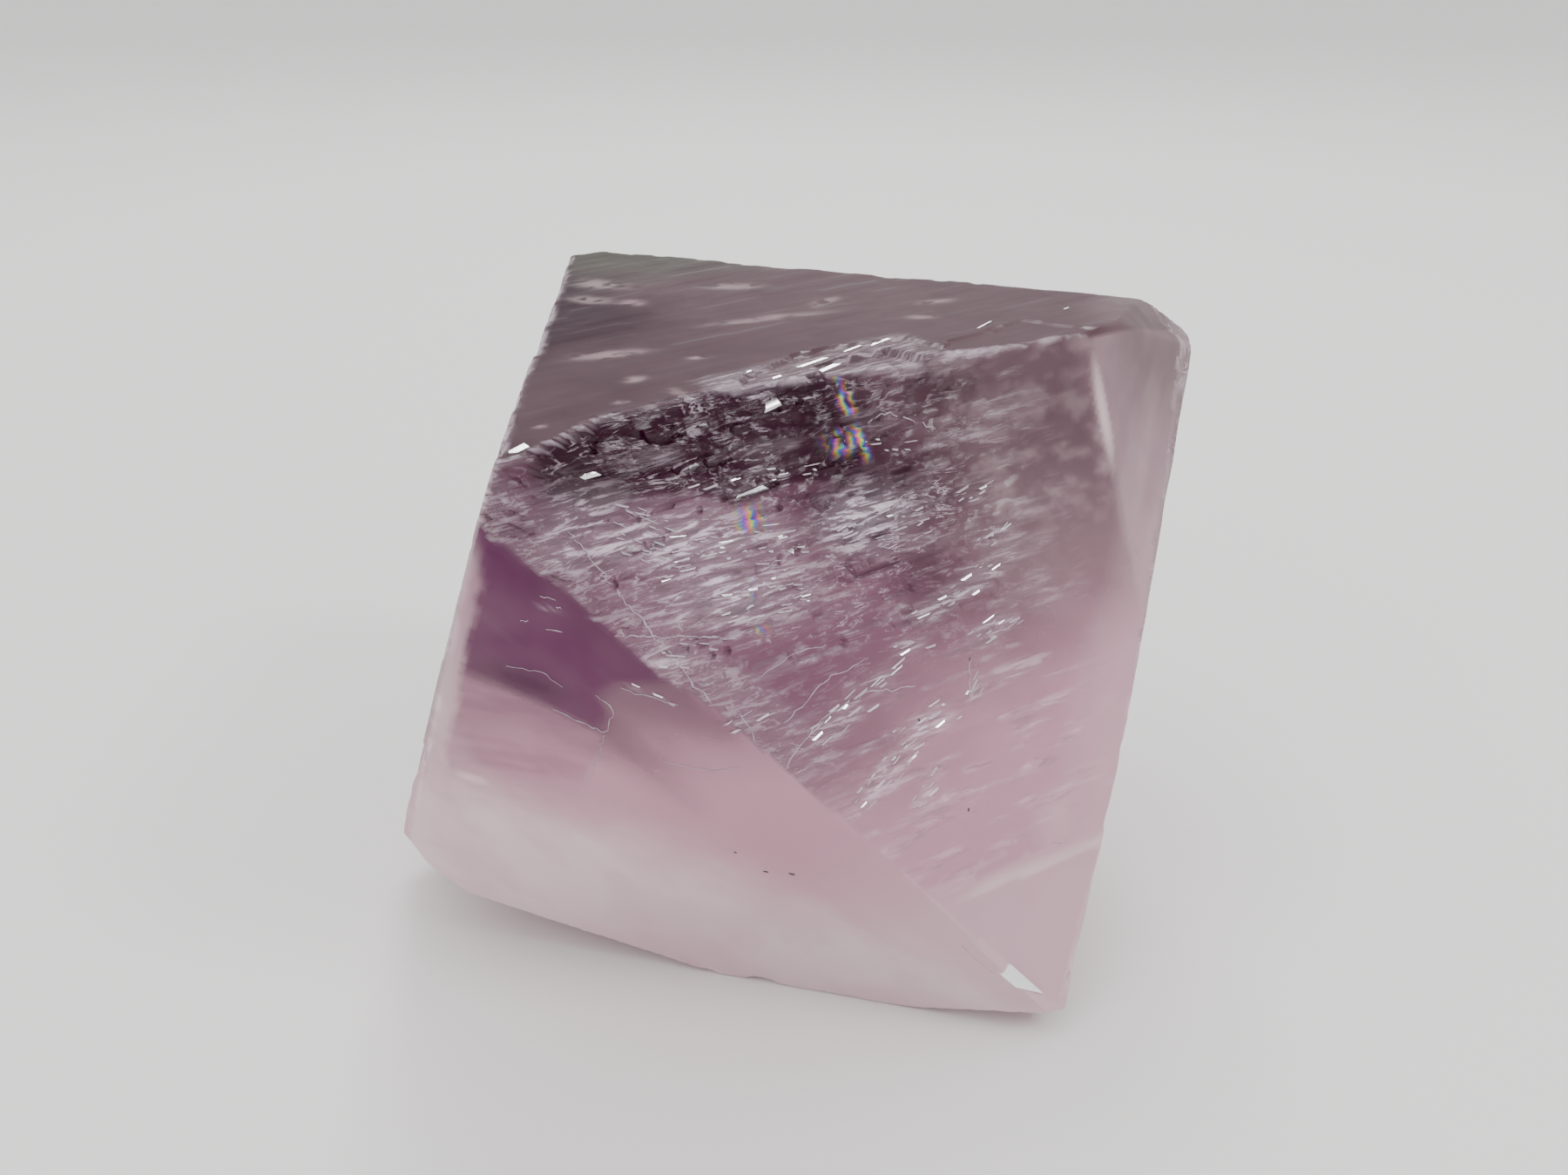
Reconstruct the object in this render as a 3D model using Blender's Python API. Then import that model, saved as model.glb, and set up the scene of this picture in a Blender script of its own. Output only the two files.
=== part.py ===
"""A purple octahedral crystal, cleaved from a larger one, lying on one of its eight faces.

The body is one block of glassy mineral. Eight flat cleavage faces bound it, broken corners
shorten its tips, and thin layers have split away in steps along its upper front edge.
X runs to the right, Y away from the front face, Z up. The block rests on z = 0.
"""

import math
import random

import bmesh
import bpy
from mathutils import Matrix, Vector

MM = 0.001

# Corners of the whole octahedron before its tips broke off, in mm.
NEAR = Vector((-9.82, -18.60, 27.66))
UPPER_LEFT = Vector((-11.12, 16.55, 28.82))
UPPER_RIGHT = Vector((20.10, 1.20, 29.20))
FOOT_RIGHT = Vector((12.60, -15.45, 0.0))
FOOT_BACK = Vector((8.53, 18.60, 0.0))
FOOT_LEFT = Vector((-19.84, -1.94, 0.0))
MIDDLE = Vector((0.0, 0.0, 14.3))

# The lower front face leans a little out of true. Two points of its upper ridge and one of
# its foot set it, in mm.
LEANING_RIDGE_TOP = Vector((-9.83, -19.03, 26.63))
LEANING_RIDGE_LOW = Vector((7.27, -15.79, 7.35))
LEANING_FOOT = Vector((-3.0, -9.75, 0.0))

# The box of the broken crystal, whose bottom centre is the origin, in mm from the origin of
# the corners above.
BOX_CENTRE = Vector((0.31, -0.29, 0.0))

# Flat breaks. Each is a plane through three points, in mm, and what lies beyond it is gone.
BROKEN_TIPS = {
    "upper right tip": ((17.25, 2.53, 29.17), (19.05, 0.1, 27.1), (15.2, -2.1, 28.8)),
    "upper right tip, rounded": ((18.45, 1.4, 28.4), (19.25, -0.2, 26.5), (17.6, -1.7, 27.2)),
    "near tip": ((-9.95, -18.1, 27.6), (-10.2, -18.9, 26.2), (-8.9, -18.7, 27.4)),
    "left foot tip": ((-17.15, -8.0, 6.4), (-16.4, -7.3, 4.7), (-18.3, -1.5, 3.6)),
    "left foot tip, rounded": ((-16.6, -7.3, 4.7), (-14.9, -7.1, 3.1), (-16.6, -0.6, 1.2)),
    "hollow under the left foot": ((-3.0, -9.62, 0.0), (-14.78, -7.12, 3.02), (-8.0, -2.0, 0.0)),
    "right foot tip": ((6.95, -13.0, 0.35), (12.71, -14.58, 1.5), (9.5, -11.6, 0.0)),
    "slope above the right foot": ((7.27, -15.79, 7.35), (14.02, -11.39, 7.38), (12.5, -14.3, 1.5)),
    "back foot tip": ((6.2, 16.9, 0.0), (9.9, 15.9, 0.0), (7.6, 17.6, 3.0)),
    "upper left tip": ((-10.9, 14.6, 28.75), (-8.9, 15.5, 28.86), (-11.4, 15.2, 26.9)),
    "sliver along the right edge": ((13.6, -3.0, 28.7), (16.64, -5.52, 17.6), (18.95, 0.15, 26.2)),
}

# Flat-floored pits on a face: points (u, v, depth) in mm on the face's own axes.
SHELVES_BEHIND_BROW = {
    "shelf_long": (
        (11.2, -3.0, 0.85), (12.2, 3.3, 0.75), (16.2, 5.2, 0.8), (20.8, 4.7, 0.9), (21.6, -3.0, 1.0)
    ),
    "shelf_left": ((2.4, -3.0, 0.5), (4.2, 1.9, 0.45), (9.6, 2.9, 0.5), (12.6, -3.0, 0.6)),
    "shelf_right": ((20.4, -3.0, 0.45), (22.2, 2.6, 0.4), (27.4, 3.1, 0.45), (30.6, -3.0, 0.5)),
}
LEFT_BEVEL = (
    (0.3, 1.0, 0.02), (7.6, 9.9, 0.05), (9.6, 14.4, 0.02),
    (13.0, 21.5, 0.1), (5.0, 14.0, 1.3), (-1.5, 1.5, 0.6),
)
FOOT_NOTCH = ((31.7, 4.6, -0.05), (32.7, 3.3, 0.3), (34.0, 4.6, 0.5), (32.9, 5.9, 0.5))
FOOT_CHIP = ((17.0, 26.4, 0.3), (18.9, 27.9, 0.75), (18.0, 30.2, 1.9), (16.2, 28.2, 1.2))

# Clusters of short ledges on a face: (u, v, how many), in mm on the face's own axes.
FRONT_LEDGES = (
    (19.0, 9.2, 4), (15.6, 10.6, 3), (20.2, 11.2, 4), (12.6, 12.4, 4), (14.4, 15.2, 5), (16.6, 14.4, 4),
)
BROW_STRIATIONS = (
    (5.0, 5.4, 7), (9.5, 7.0, 8), (13.5, 6.6, 8), (8.0, 9.4, 6), (3.4, 3.0, 5), (18.5, 5.2, 6),
    (22.5, 4.0, 4), (11.0, 3.6, 5), (16.5, 8.6, 5),
)
TOP_FLAKES = (
    (7.0, 7.8, 3), (14.0, 12.0, 3), (20.0, 20.0, 3), (18.5, 26.0, 2), (9.0, 16.0, 2), (24.0, 9.0, 2),
)
LOWER_FLAKES = ((9.6, 6.2, 2), (20.0, 14.0, 3), (13.5, 17.0, 3), (28.0, 5.0, 2))
REAR_FLAKES = ((8.0, 8.0, 4), (16.0, 12.0, 4), (22.0, 8.0, 3))

ROUGH_BLOCK = 90.0
CUTTER_STANDS_PROUD = 2.5

# The brow is the stepped slope that has split from the upper front edge, in mm.
STEP_HEIGHT = 0.36
STEP_COUNT = 7
BROW_DEPTH = STEP_HEIGHT * STEP_COUNT + 0.4
BROW_REACH = 11.0
LEFT_END_SHARE = 0.45
NEAR_BEVEL_ON_TOP = 2.6
NEAR_BEVEL_ON_FRONT = 1.5
NEAR_BEVEL_LENGTH = 6.0

CRYSTAL_COLOUR = (0.42, 0.24, 0.38, 1.0)
CRYSTAL_ROUGHNESS = 0.25


def clear_scene():
    """Empty the file, so that only the crystal is in it."""
    for item in list(bpy.data.objects):
        bpy.data.objects.remove(item, do_unlink=True)


def cleave(block, first, second, third):
    """Split the block along the plane through three points and keep the middle's side."""
    normal = (second - first).cross(third - first).normalized()
    if normal.dot(MIDDLE - first) > 0:
        normal = -normal
    parts = block.verts[:] + block.edges[:] + block.faces[:]
    bmesh.ops.bisect_plane(
        block, geom=parts, dist=1e-6, plane_co=first, plane_no=normal, clear_outer=True
    )
    rim = [edge for edge in block.edges if edge.is_boundary]
    bmesh.ops.edgeloop_fill(block, edges=rim)


def octahedron(block):
    """The eight cleavage faces."""
    cleave(block, NEAR, UPPER_RIGHT, FOOT_RIGHT)
    cleave(block, NEAR, UPPER_LEFT, UPPER_RIGHT)
    cleave(block, LEANING_RIDGE_TOP, LEANING_RIDGE_LOW, LEANING_FOOT)
    cleave(block, NEAR, UPPER_LEFT, FOOT_LEFT)
    cleave(block, FOOT_BACK, UPPER_RIGHT, FOOT_RIGHT)
    cleave(block, FOOT_BACK, UPPER_LEFT, UPPER_RIGHT)
    cleave(block, FOOT_BACK, UPPER_LEFT, FOOT_LEFT)
    cleave(block, FOOT_LEFT, FOOT_RIGHT, FOOT_BACK)


def broken_tips(block):
    """Flat breaks that blunt the corners and thin two of the faces' rims."""
    for points in BROKEN_TIPS.values():
        cleave(block, *(Vector(point) for point in points))


def face_frame(origin, along, toward):
    """Axes on a face: u along one edge, v across the face, w out of the crystal, in mm."""
    u_axis = (along - origin).normalized()
    w_axis = u_axis.cross(toward - origin).normalized()
    if w_axis.dot(origin - MIDDLE) < 0:
        w_axis = -w_axis
    v_axis = (toward - origin) - (toward - origin).dot(u_axis) * u_axis
    frame = Matrix.Identity(4)
    frame.col[0].xyz = u_axis
    frame.col[1].xyz = v_axis.normalized()
    frame.col[2].xyz = w_axis
    frame.col[3].xyz = origin
    return frame


def cutter(group, name, points):
    """A hidden convex block around the points, which are in mm."""
    block = bmesh.new()
    for point in points:
        block.verts.new((point - BOX_CENTRE) * MM)
    bmesh.ops.convex_hull(block, input=block.verts)
    loose = [vert for vert in block.verts if not vert.link_faces]
    bmesh.ops.delete(block, geom=loose)
    bmesh.ops.recalc_face_normals(block, faces=block.faces)
    mesh = bpy.data.meshes.new(name)
    block.to_mesh(mesh)
    block.free()
    item = bpy.data.objects.new(name, mesh)
    item.hide_render = True
    item.display_type = "WIRE"
    group.objects.link(item)


def pit(group, name, frame, outline):
    """Cut a flat-floored pit: each outline point is (u, v, depth below the face)."""
    points = [frame @ Vector((u, v, -depth)) for u, v, depth in outline]
    points += [frame @ Vector((u, v, CUTTER_STANDS_PROUD)) for u, v, _ in outline]
    cutter(group, name, points)


def ledge(group, name, frame, place, size, heading):
    """Cut a wedge whose floor falls from nothing to its full depth along one straight riser.

    place is its centre (u, v); size is its length, width and depth; heading turns it, in
    degrees. Its long riser then lies along one of the crystal's own edge directions.
    """
    u, v = place
    length, width, depth = size
    turn = Matrix.Rotation(math.radians(heading), 2)
    corners = ((-0.5, 0.0, 1.0), (0.42, 0.0, 0.8), (0.5, 1.0, 0.0), (-0.34, 1.0, 0.0))
    outline = []
    for x, y, fall in corners:
        offset = turn @ Vector((x * length, y * width))
        outline.append((u + offset.x, v + offset.y, fall * depth - 0.02 * (1.0 - fall)))
    pit(group, name, frame, outline)


def stepped_brow(group, front, rng):
    """Layers split from the upper front edge, each step reaching further down the face."""
    for step in range(STEP_COUNT):
        depth = STEP_HEIGHT * (STEP_COUNT - step)
        foot = 1.5 + 1.35 * step
        left = 0.4 + 0.6 * step
        right = 29.5 - 1.5 * step - rng.uniform(0.0, 2.2)
        outline = (
            (left - 4.0, -4.0, LEFT_END_SHARE * depth),
            (left, foot - rng.uniform(0.8, 1.6), LEFT_END_SHARE * depth),
            (left + rng.uniform(3.5, 6.5), foot, depth),
            (rng.uniform(0.55, 0.7) * right, foot + rng.uniform(-0.2, 0.7), depth),
            (right, foot - rng.uniform(1.2, 2.4), depth),
            (right + 3.5, -4.0, depth),
        )
        pit(group, f"brow_step_{step}", front, outline)


def near_bevel(group, top, front):
    """A bevel that carries the brow's slope out over the near tip."""
    start = -4.0
    end = NEAR_BEVEL_LENGTH
    proud = CUTTER_STANDS_PROUD
    points = []
    for lift in (0.0, proud):
        points.append(top @ Vector((start, NEAR_BEVEL_ON_TOP, lift)))
        points.append(top @ Vector((end, NEAR_BEVEL_ON_TOP - 0.6, lift)))
        points.append(front @ Vector((start, NEAR_BEVEL_ON_FRONT, lift)))
        points.append(front @ Vector((end, NEAR_BEVEL_ON_FRONT + 0.7, lift)))
    cutter(group, "near_bevel", points)


def ledges_on(group, name, frame, rng, spots, reach, headings):
    """Short ledges in clusters: spots are (u, v, how many), reach is their spread in mm."""
    count = 0
    for u, v, many in spots:
        for _ in range(many):
            place = (u + rng.uniform(-reach, reach), v + rng.uniform(-0.7 * reach, 0.7 * reach))
            size = (rng.uniform(1.0, 3.2), rng.uniform(0.35, 0.9), rng.uniform(0.12, 0.34))
            heading = rng.choice(headings) + rng.uniform(-3.0, 3.0)
            ledge(group, f"{name}_{count}", frame, place, size, heading)
            count += 1


def edge_nicks(group, name, start, end, rng, count, largest):
    """Small breaks along an edge, where the brittle rim has flaked."""
    along = (end - start).normalized()
    outward = ((start + end) / 2 - MIDDLE).normalized()
    across = along.cross(outward)
    for index in range(count):
        share = (index + 0.5 + rng.uniform(-0.35, 0.35)) / count
        centre = start.lerp(end, share)
        half = rng.uniform(0.5, 1.6)
        bite = largest * rng.uniform(0.25, 1.0)
        tilt = rng.uniform(-0.7, 0.7)
        deep = centre - outward * bite
        points = [
            deep - along * half * 0.4 + across * tilt * 0.3,
            deep + along * half * 0.3 - across * tilt * 0.3,
            centre - along * half + outward * 1.2,
            centre + along * half + outward * 1.2,
            centre + outward * 1.2 + across * (1.7 + tilt),
            centre + outward * 1.2 - across * (1.7 - tilt),
        ]
        cutter(group, f"{name}_{index}", points)


def breaks(group):
    """Every step, pit, ledge and nick that is cut out of the plain block."""
    rng = random.Random(29)
    front = face_frame(NEAR, UPPER_RIGHT, FOOT_RIGHT)
    top = face_frame(NEAR, UPPER_RIGHT, UPPER_LEFT)
    lower = face_frame(LEANING_RIDGE_TOP, LEANING_RIDGE_LOW, FOOT_LEFT)
    left = face_frame(NEAR, FOOT_LEFT, UPPER_LEFT)
    brow = face_frame(
        front @ Vector((0.0, 0.0, -BROW_DEPTH)),
        front @ Vector((30.0, 0.0, -BROW_DEPTH)),
        front @ Vector((10.0, BROW_REACH, 0.0)),
    )
    right_back = face_frame(FOOT_RIGHT, UPPER_RIGHT, FOOT_BACK)
    back = face_frame(UPPER_LEFT, UPPER_RIGHT, FOOT_BACK)
    left_back = face_frame(FOOT_LEFT, UPPER_LEFT, FOOT_BACK)

    stepped_brow(group, front, rng)
    near_bevel(group, top, front)
    for name, outline in SHELVES_BEHIND_BROW.items():
        pit(group, name, top, outline)
    pit(group, "left_bevel", lower, LEFT_BEVEL)
    pit(group, "foot_notch", lower, FOOT_NOTCH)
    pit(group, "foot_chip", front, FOOT_CHIP)

    ledges_on(group, "front_ledge", front, rng, FRONT_LEDGES, 1.3, (0.0, 58.0, -20.0))
    ledges_on(group, "striation", brow, rng, BROW_STRIATIONS, 2.0, (0.0, 4.0, -12.0, 8.0))
    ledges_on(group, "top_flake", top, rng, TOP_FLAKES, 2.2, (0.0, 60.0, 10.0))
    ledges_on(group, "lower_flake", lower, rng, LOWER_FLAKES, 2.2, (0.0, 55.0))
    ledges_on(group, "left_flake", left, rng, REAR_FLAKES, 2.6, (0.0, 60.0, -60.0))
    ledges_on(group, "right_back_flake", right_back, rng, REAR_FLAKES, 2.6, (0.0, 60.0, -60.0))
    ledges_on(group, "back_flake", back, rng, REAR_FLAKES, 2.6, (0.0, 60.0, -60.0))
    ledges_on(group, "left_back_flake", left_back, rng, REAR_FLAKES, 2.6, (0.0, 60.0, -60.0))

    foot_start = Vector((-13.0, -7.3, 2.2))
    foot_end = Vector((7.4, -12.6, 0.0))
    edge_nicks(group, "foot_nick", foot_start, foot_end, rng, 9, 0.35)
    edge_nicks(group, "left_nick", NEAR, FOOT_LEFT, rng, 12, 0.35)
    edge_nicks(group, "upper_left_nick", NEAR, UPPER_LEFT, rng, 11, 0.45)
    edge_nicks(group, "top_back_nick", UPPER_LEFT, UPPER_RIGHT, rng, 11, 0.35)
    edge_nicks(group, "right_nick", UPPER_RIGHT, FOOT_RIGHT, rng, 9, 0.25)
    edge_nicks(group, "back_nick", UPPER_RIGHT, FOOT_BACK, rng, 10, 0.5)
    edge_nicks(group, "back_left_nick", UPPER_LEFT, FOOT_BACK, rng, 10, 0.5)


def crystal_material():
    """Purple glassy mineral."""
    finish = bpy.data.materials.new("purple_crystal")
    finish.use_nodes = True
    shader = finish.node_tree.nodes["Principled BSDF"]
    shader.inputs["Base Color"].default_value = CRYSTAL_COLOUR
    shader.inputs["Roughness"].default_value = CRYSTAL_ROUGHNESS
    shader.inputs["Metallic"].default_value = 0.0
    return finish


def build():
    """Cleave the block, break its tips, and cut the ledges and nicks into it."""
    clear_scene()
    block = bmesh.new()
    bmesh.ops.create_cube(block, size=ROUGH_BLOCK)
    octahedron(block)
    broken_tips(block)
    for vert in block.verts:
        vert.co = (vert.co - BOX_CENTRE) * MM
    bmesh.ops.recalc_face_normals(block, faces=block.faces)
    mesh = bpy.data.meshes.new("crystal")
    block.to_mesh(mesh)
    block.free()
    mesh.materials.append(crystal_material())
    crystal = bpy.data.objects.new("crystal", mesh)
    bpy.context.scene.collection.objects.link(crystal)

    group = bpy.data.collections.new("breaks")
    bpy.context.scene.collection.children.link(group)
    breaks(group)
    cut = crystal.modifiers.new("breaks", "BOOLEAN")
    cut.operation = "DIFFERENCE"
    cut.solver = "EXACT"
    cut.operand_type = "COLLECTION"
    cut.collection = group


build()
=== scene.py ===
"""A cleaved purple fluorite octahedron on a pale floor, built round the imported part.

Run it with Blender 4.5. It is laid out as an add-on: each operator makes one piece or one group of
like pieces, and main() calls them in order. Lengths are in mm until make_piece turns them to metres.
"""

import functools
import math

import bmesh
import bpy
import numpy as np
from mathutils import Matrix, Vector


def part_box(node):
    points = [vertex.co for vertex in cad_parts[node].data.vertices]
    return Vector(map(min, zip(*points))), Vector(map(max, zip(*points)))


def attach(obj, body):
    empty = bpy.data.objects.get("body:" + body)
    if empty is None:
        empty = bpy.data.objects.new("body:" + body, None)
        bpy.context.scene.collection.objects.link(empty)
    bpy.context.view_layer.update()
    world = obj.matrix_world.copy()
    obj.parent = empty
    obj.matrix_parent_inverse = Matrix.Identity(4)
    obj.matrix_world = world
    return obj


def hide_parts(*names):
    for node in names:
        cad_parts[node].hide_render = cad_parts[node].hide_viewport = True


bl_info = {
    "name": "Fluorite octahedron",
    "version": (1, 0, 0),
    "blender": (4, 5, 0),
    "location": "View3D > Sidebar > Crystal",
    "description": "Builds a cleaved purple fluorite octahedron with its inner cracks and a plain stage",
    "category": "Object",
}

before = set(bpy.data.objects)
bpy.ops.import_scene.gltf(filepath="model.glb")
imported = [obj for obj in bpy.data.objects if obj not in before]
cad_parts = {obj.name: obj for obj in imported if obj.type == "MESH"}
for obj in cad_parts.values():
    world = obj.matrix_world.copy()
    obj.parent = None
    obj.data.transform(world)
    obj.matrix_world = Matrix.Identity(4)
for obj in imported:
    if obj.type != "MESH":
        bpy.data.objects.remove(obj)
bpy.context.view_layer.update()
BOX_LOW, BOX_HIGH = (np.array(corner) * 1000.0 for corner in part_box("crystal"))

MM = 0.001
BODY = "root"

# ---------------------------------------------------------------- the crystal's own form, in mm
# Corners are given from the crystal's middle line; SHIFT takes them to the part's own origin.
SHIFT = np.array([0.31, -0.29, 0.0])
NEAR = np.array([-9.82, -18.60, 27.66])
UPPER_LEFT = np.array([-11.12, 16.55, 28.82])
UPPER_RIGHT = np.array([20.10, 1.20, 29.20])
FOOT_RIGHT = np.array([12.60, -15.45, 0.0])
FOOT_BACK = np.array([8.53, 18.60, 0.0])
FOOT_LEFT = np.array([-19.84, -1.94, 0.0])
RIDGE_TOP = np.array([-9.83, -19.03, 26.63])
RIDGE_LOW = np.array([7.27, -15.79, 7.35])
LEANING_FOOT = np.array([-3.0, -9.75, 0.0])
MIDDLE = np.array([0.0, 0.0, 14.3])

# The grid's corners: where the faces really meet once the brow has set the top edge back.
GRID_CORNERS = (
    (np.array([-9.95, -18.0, 27.3]), FOOT_BACK),
    (UPPER_LEFT, np.array([13.1, -15.0, 0.0])),
    (np.array([19.4, 2.3, 29.1]), np.array([-19.6, -3.4, 0.0])),
)

# Flat breaks, each through three points; what lies beyond one is gone.
BROKEN_TIPS = {
    "upper right tip": ((17.25, 2.53, 29.17), (19.05, 0.1, 27.1), (15.2, -2.1, 28.8)),
    "upper right tip, rounded": ((18.45, 1.4, 28.4), (19.25, -0.2, 26.5), (17.6, -1.7, 27.2)),
    "near tip": ((-9.95, -18.1, 27.6), (-10.2, -18.9, 26.2), (-8.9, -18.7, 27.4)),
    "left foot tip": ((-17.15, -8.0, 6.4), (-16.4, -7.3, 4.7), (-18.3, -1.5, 3.6)),
    "left foot tip, rounded": ((-16.6, -7.3, 4.7), (-14.9, -7.1, 3.1), (-16.6, -0.6, 1.2)),
    "hollow under the left foot": ((-3.0, -9.62, 0.0), (-14.78, -7.12, 3.02), (-8.0, -2.0, 0.0)),
    "right foot tip": ((6.95, -13.0, 0.35), (12.71, -14.58, 1.5), (9.5, -11.6, 0.0)),
    "slope above the right foot": ((7.27, -15.79, 7.35), (14.02, -11.39, 7.38), (12.5, -14.3, 1.5)),
    "back foot tip": ((6.2, 16.9, 0.0), (9.9, 15.9, 0.0), (7.6, 17.6, 3.0)),
    "upper left tip": ((-10.9, 14.6, 28.75), (-8.9, 15.5, 28.86), (-11.4, 15.2, 26.9)),
    "sliver along the right edge": ((13.6, -3.0, 28.7), (16.64, -5.52, 17.6), (18.95, 0.15, 26.2)),
}
# How far the brow sets the top edge back, and how far down the front face it reaches.
BROW_DEPTH = 2.92
BROW_REACH = 11.0
# Where the brow ends on the right: a low pale step that runs down the front face at this u; the pale is a
# painted highlight.
STRIPE = 28.3
# One tread of the brow, and the lengths and heights of the slanted blocks that break it up. A row
# is one grid cell high.
STEP = 0.36
ROW = 0.235
LEDGE = (2.6, 2 * ROW)
CRUMB = (0.7, ROW)
STRIA = (2.3, ROW)
LOW_LEDGE = (2.4, 2 * ROW)
# How round the edges between planes are.
ROUNDING = 0.03
# How far the skin stays inside the CAD model's box.
INSET = 0.005
# Rays that miss a plane are cut off here, as a multiple of their length.
FAR = 50.0


def face_axes(origin, along, toward):
    """A face's origin and its axes: u along one edge, v across the face, w outwards.

    w is the cross product of u and the way toward the third corner, and v is that way less its part
    along u.
    """
    u_axis = (along - origin) / np.linalg.norm(along - origin)
    w_axis = np.cross(u_axis, toward - origin)
    w_axis /= np.linalg.norm(w_axis)
    if w_axis @ (origin - MIDDLE) < 0:
        w_axis = -w_axis
    v_axis = (toward - origin) - (toward - origin) @ u_axis * u_axis
    return origin, u_axis, v_axis / np.linalg.norm(v_axis), w_axis


FRONT = face_axes(NEAR, UPPER_RIGHT, FOOT_RIGHT)
TOP = face_axes(NEAR, UPPER_RIGHT, UPPER_LEFT)
LOWER = face_axes(RIDGE_TOP, RIDGE_LOW, LEANING_FOOT)
LEFT = face_axes(NEAR, FOOT_LEFT, UPPER_LEFT)
RIGHT_BACK = face_axes(FOOT_RIGHT, UPPER_RIGHT, FOOT_BACK)
BACK = face_axes(UPPER_LEFT, UPPER_RIGHT, FOOT_BACK)
LEFT_BACK = face_axes(FOOT_LEFT, UPPER_LEFT, FOOT_BACK)
BASE = face_axes(FOOT_LEFT, FOOT_RIGHT, FOOT_BACK)
FACES = (FRONT, TOP, LOWER, LEFT, RIGHT_BACK, BACK, LEFT_BACK, BASE)
# Edges that chip: the two faces that meet, a point on the edge, another, and how badly.
EDGES = (
    (FRONT, LOWER, RIDGE_TOP, RIDGE_LOW, 0.20),
    (FRONT, RIGHT_BACK, UPPER_RIGHT, FOOT_RIGHT, 0.08),
    (TOP, LEFT, NEAR, UPPER_LEFT, 0.08),
    (TOP, BACK, UPPER_LEFT, UPPER_RIGHT, 0.10),
    (LEFT, LEFT_BACK, UPPER_LEFT, FOOT_LEFT, 0.12),
    (BACK, RIGHT_BACK, UPPER_RIGHT, FOOT_BACK, 0.12),
    (BACK, LEFT_BACK, UPPER_LEFT, FOOT_BACK, 0.12),
    (LOWER, BASE, LEANING_FOOT, FOOT_RIGHT, 0.10),
    (LEFT_BACK, BASE, FOOT_LEFT, FOOT_BACK, 0.10),
    (RIGHT_BACK, BASE, FOOT_RIGHT, FOOT_BACK, 0.10),
)

# The long bevel at the left of the lower face: (u, v, depth) of three points.
LEFT_BEVEL = ((0.3, 1.0, 0.02), (13.0, 21.5, 0.1), (5.0, 14.0, 1.3))
# The notch in the lower edge beside the right foot: (u, v, depth) corners on the lower face.
FOOT_NOTCH = ((31.7, 4.6, -0.05), (32.7, 3.3, 0.3), (34.0, 4.6, 0.5), (32.9, 5.9, 0.5))
# Shelves behind the brow: (u, v, depth) corners on the top face.
SHELVES = (
    ((9.5, -3.0, 0.28), (12.6, 3.9, 0.20), (16.2, 5.3, 0.22), (21.6, 5.0, 0.1), (23.5, -3.0, 0.12)),
    ((2.4, -3.0, 0.24), (4.2, 2.0, 0.15), (9.6, 3.0, 0.18), (12.6, -3.0, 0.24)),
    ((20.4, -3.0, 0.14), (22.2, 2.7, 0.08), (27.4, 3.2, 0.08), (30.6, -3.0, 0.1)),
    ((15.2, -3.0, 0.48), (16.6, 4.0, 0.42), (20.4, 4.2, 0.44), (22.0, -3.0, 0.50)),
)
# Thin lifted flakes on the top face: middle (u, v), half length, half width and heading in degrees.
TOP_FLAKES = (
    (10.2, 10.45, 1.9, 0.26, -18),
    (18.8, 10.9, 3.1, 0.20, -17),
    (22.4, 11.6, 1.2, 0.16, 16),
    (9.4, 6.7, 0.6, 0.20, -18),
    (7.6, 4.3, 0.4, 0.13, -20),
    (10.0, 4.0, 0.35, 0.20, 10),
    (3.7, 3.6, 0.3, 0.11, -30),
    (5.5, 2.95, 0.4, 0.11, -22),
    (15.6, 21.6, 2.0, 0.40, -65),
    (13.8, 19.1, 1.4, 0.28, -61),
    (15.1, 17.3, 0.7, 0.26, -50),
    (26.5, 8.2, 1.0, 0.16, -10),
    (24.3, 6.5, 0.8, 0.14, -25),
    (13.0, 7.6, 0.5, 0.12, -20),
    (6.0, 13.5, 0.9, 0.15, -50),
    (20.5, 17.0, 1.6, 0.30, -40),
)


# ---------------------------------------------------------------- noise and soft outlines
def hashed(ix, iy, seed):
    """A repeatable number from 0 to 1 for each pair of whole numbers: large products, folded over."""
    ix = np.asarray(ix).astype(np.int64)
    iy = np.asarray(iy).astype(np.int64)
    mixed = (ix * 374761393 + iy * 668265263 + seed * 2246822519) & 0xFFFFFFFF
    mixed = ((mixed ^ (mixed >> 13)) * 1274126177) & 0xFFFFFFFF
    mixed = mixed ^ (mixed >> 16)
    return (mixed & 0xFFFFFF) / float(0xFFFFFF)


def noise(x, y, seed):
    """Value noise: the four hashed corners round a point, blended by smooth weights, 0 to 1."""
    ix, iy = np.floor(x), np.floor(y)
    fx, fy = x - ix, y - iy
    fx, fy = fx * fx * (3 - 2 * fx), fy * fy * (3 - 2 * fy)
    low = hashed(ix, iy, seed) * (1 - fx) + hashed(ix + 1, iy, seed) * fx
    high = hashed(ix, iy + 1, seed) * (1 - fx) + hashed(ix + 1, iy + 1, seed) * fx
    return low * (1 - fy) + high * fy


def layered(x, y, seed, octaves=4):
    """Value noise summed over halving sizes and strengths, 0 to 1."""
    total, weight = np.zeros(np.shape(x)), 0.0
    for octave in range(octaves):
        share = 0.5**octave
        total = total + share * noise(x * 2**octave, y * 2**octave, seed + octave)
        weight += share
    return total / weight


def blocks(u, v, length, height, seed):
    """One hashed number per slanted block: blocks follow the face's own edges, 60 degrees apart."""
    slide = u - v / math.sqrt(3.0)
    row = np.floor(v / height)
    return hashed(np.floor(slide / length + 7.3 * hashed(row, row * 0, seed + 5)), row, seed)


def smooth(x, low, high):
    """0 below low, 1 above high, and between them 3 s squared less 2 s cubed, for the share s."""
    share = np.clip((x - low) / (high - low), 0.0, 1.0)
    return share * share * (3 - 2 * share)


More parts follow.
